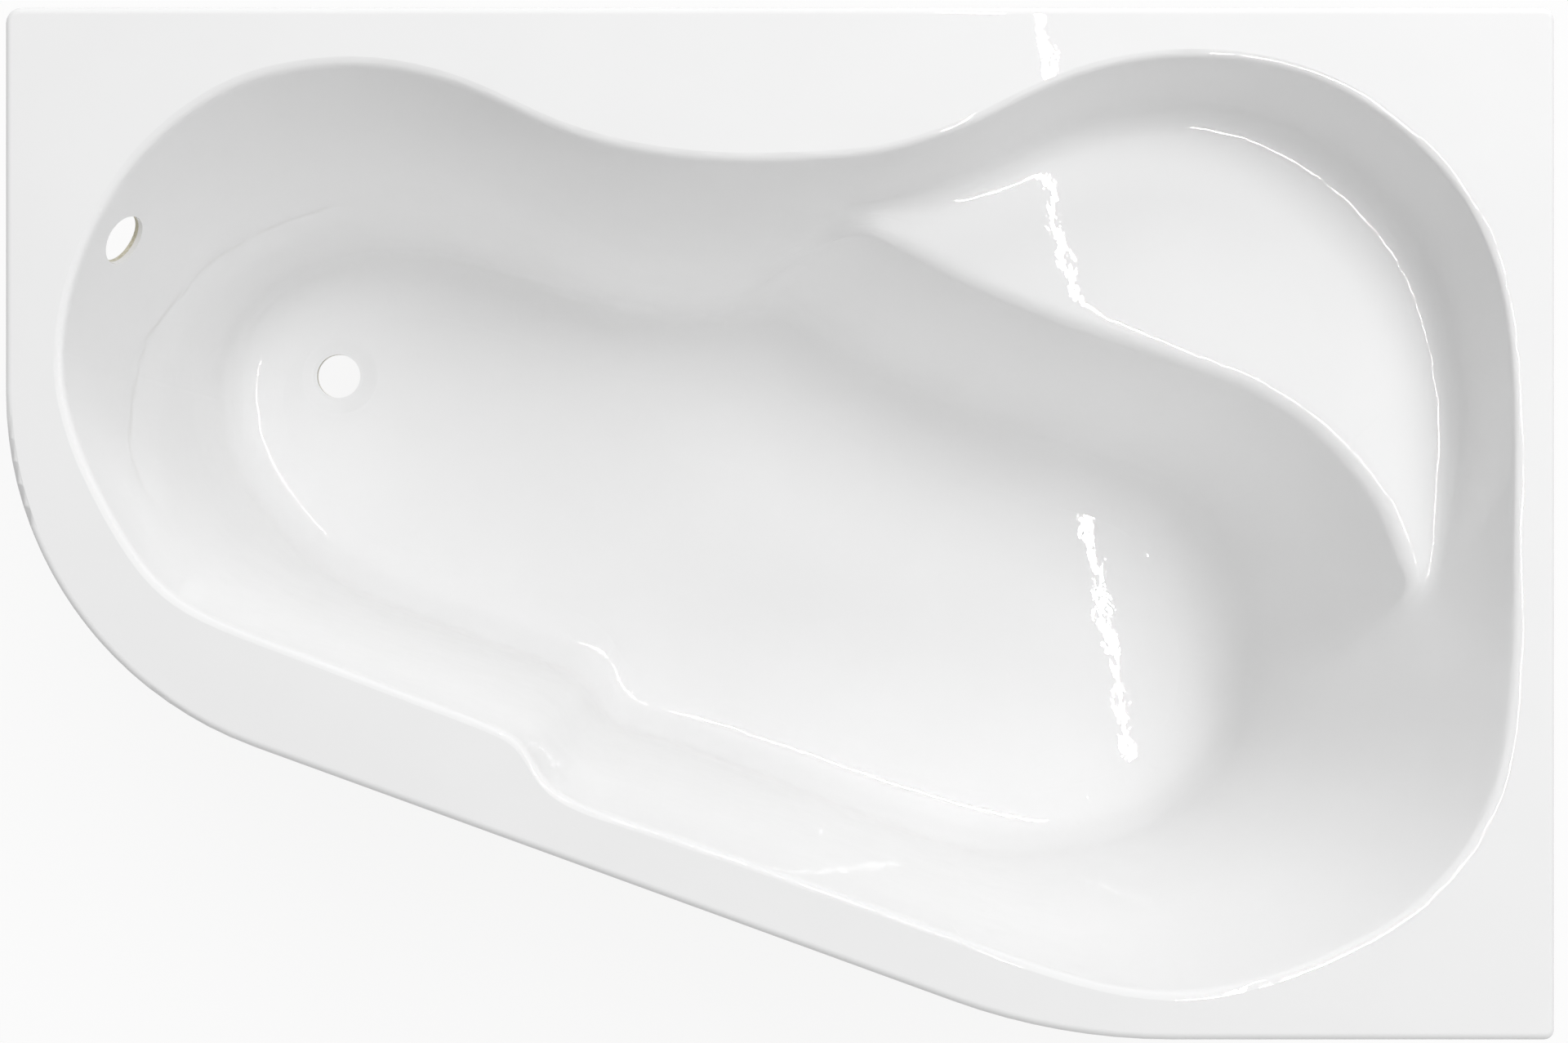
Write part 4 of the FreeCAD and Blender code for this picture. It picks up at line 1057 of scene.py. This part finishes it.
def seen_directly(finish):
    """One for rays that come from the camera, from a mirror-like surface or through glass."""
    rays = add_node(finish, "LightPath").outputs
    seen = calculate(finish, "MAXIMUM", rays["Is Camera Ray"], rays["Is Glossy Ray"])
    return calculate(finish, "MAXIMUM", seen, rays["Is Transmission Ray"])


world = bpy.data.worlds.new("pale_room")
scene.world = world
world.use_nodes = True
room = world.node_tree.nodes["Background"]
room.inputs["Color"].default_value = WHITE
room.inputs["Strength"].default_value = ROOM_LIGHT
backdrop = add_node(world, "Background", {"Color": WHITE, "Strength": 1.0})
mix_room = add_node(world, "MixShader", links={
    "Fac": seen_directly(world), 1: room.outputs["Background"], 2: backdrop.outputs["Background"]})
plug(world, mix_room.outputs["Shader"], world.node_tree.nodes["World Output"], "Surface")
scene.view_settings.view_transform = "Standard"
print("Room light:", ROOM_LIGHT)

# %% [markdown]
# The floor is a plain pale sheet. Most of what the camera sees of it is an even white of its own,
# and the rest is lit like anything else, so the soft shadow under the bath stays. For the light
# that it throws back it is a darker grey, or the sides of the bath would bleach.

# %% Floor
FLOOR_SIZE, FLOOR_OWN_WHITE = 12.0, 0.88
FLOOR_GREY, FLOOR_PALE, FLOOR_ROUGHNESS = 0.55, 0.9, 0.9

bpy.ops.object.select_all(action="DESELECT")
bpy.ops.mesh.primitive_plane_add(size=FLOOR_SIZE, location=(0.0, 0.0, 0.0))
floor = bpy.context.active_object
floor.name = "pale_floor"
floor_finish, shader = start_finish("pale_floor_paint", (FLOOR_PALE,) * 3, FLOOR_ROUGHNESS)
floor.data.materials.append(floor_finish)
seen = seen_directly(floor_finish)
paint = calculate(floor_finish, "MULTIPLY_ADD", seen, FLOOR_PALE - FLOOR_GREY, FLOOR_GREY)
plug(floor_finish, paint, shader, "Base Color")
lit = add_node(floor_finish, "Emission", {"Color": WHITE, "Strength": 1.0})
share = calculate(floor_finish, "MULTIPLY", seen, FLOOR_OWN_WHITE)
mixed = add_node(floor_finish, "MixShader", links={
    "Fac": share, 1: shader.outputs["BSDF"], 2: lit.outputs["Emission"]})
output = floor_finish.node_tree.nodes["Material Output"]
plug(floor_finish, mixed.outputs["Shader"], output, "Surface")
print("Floor:", FLOOR_SIZE, "m")
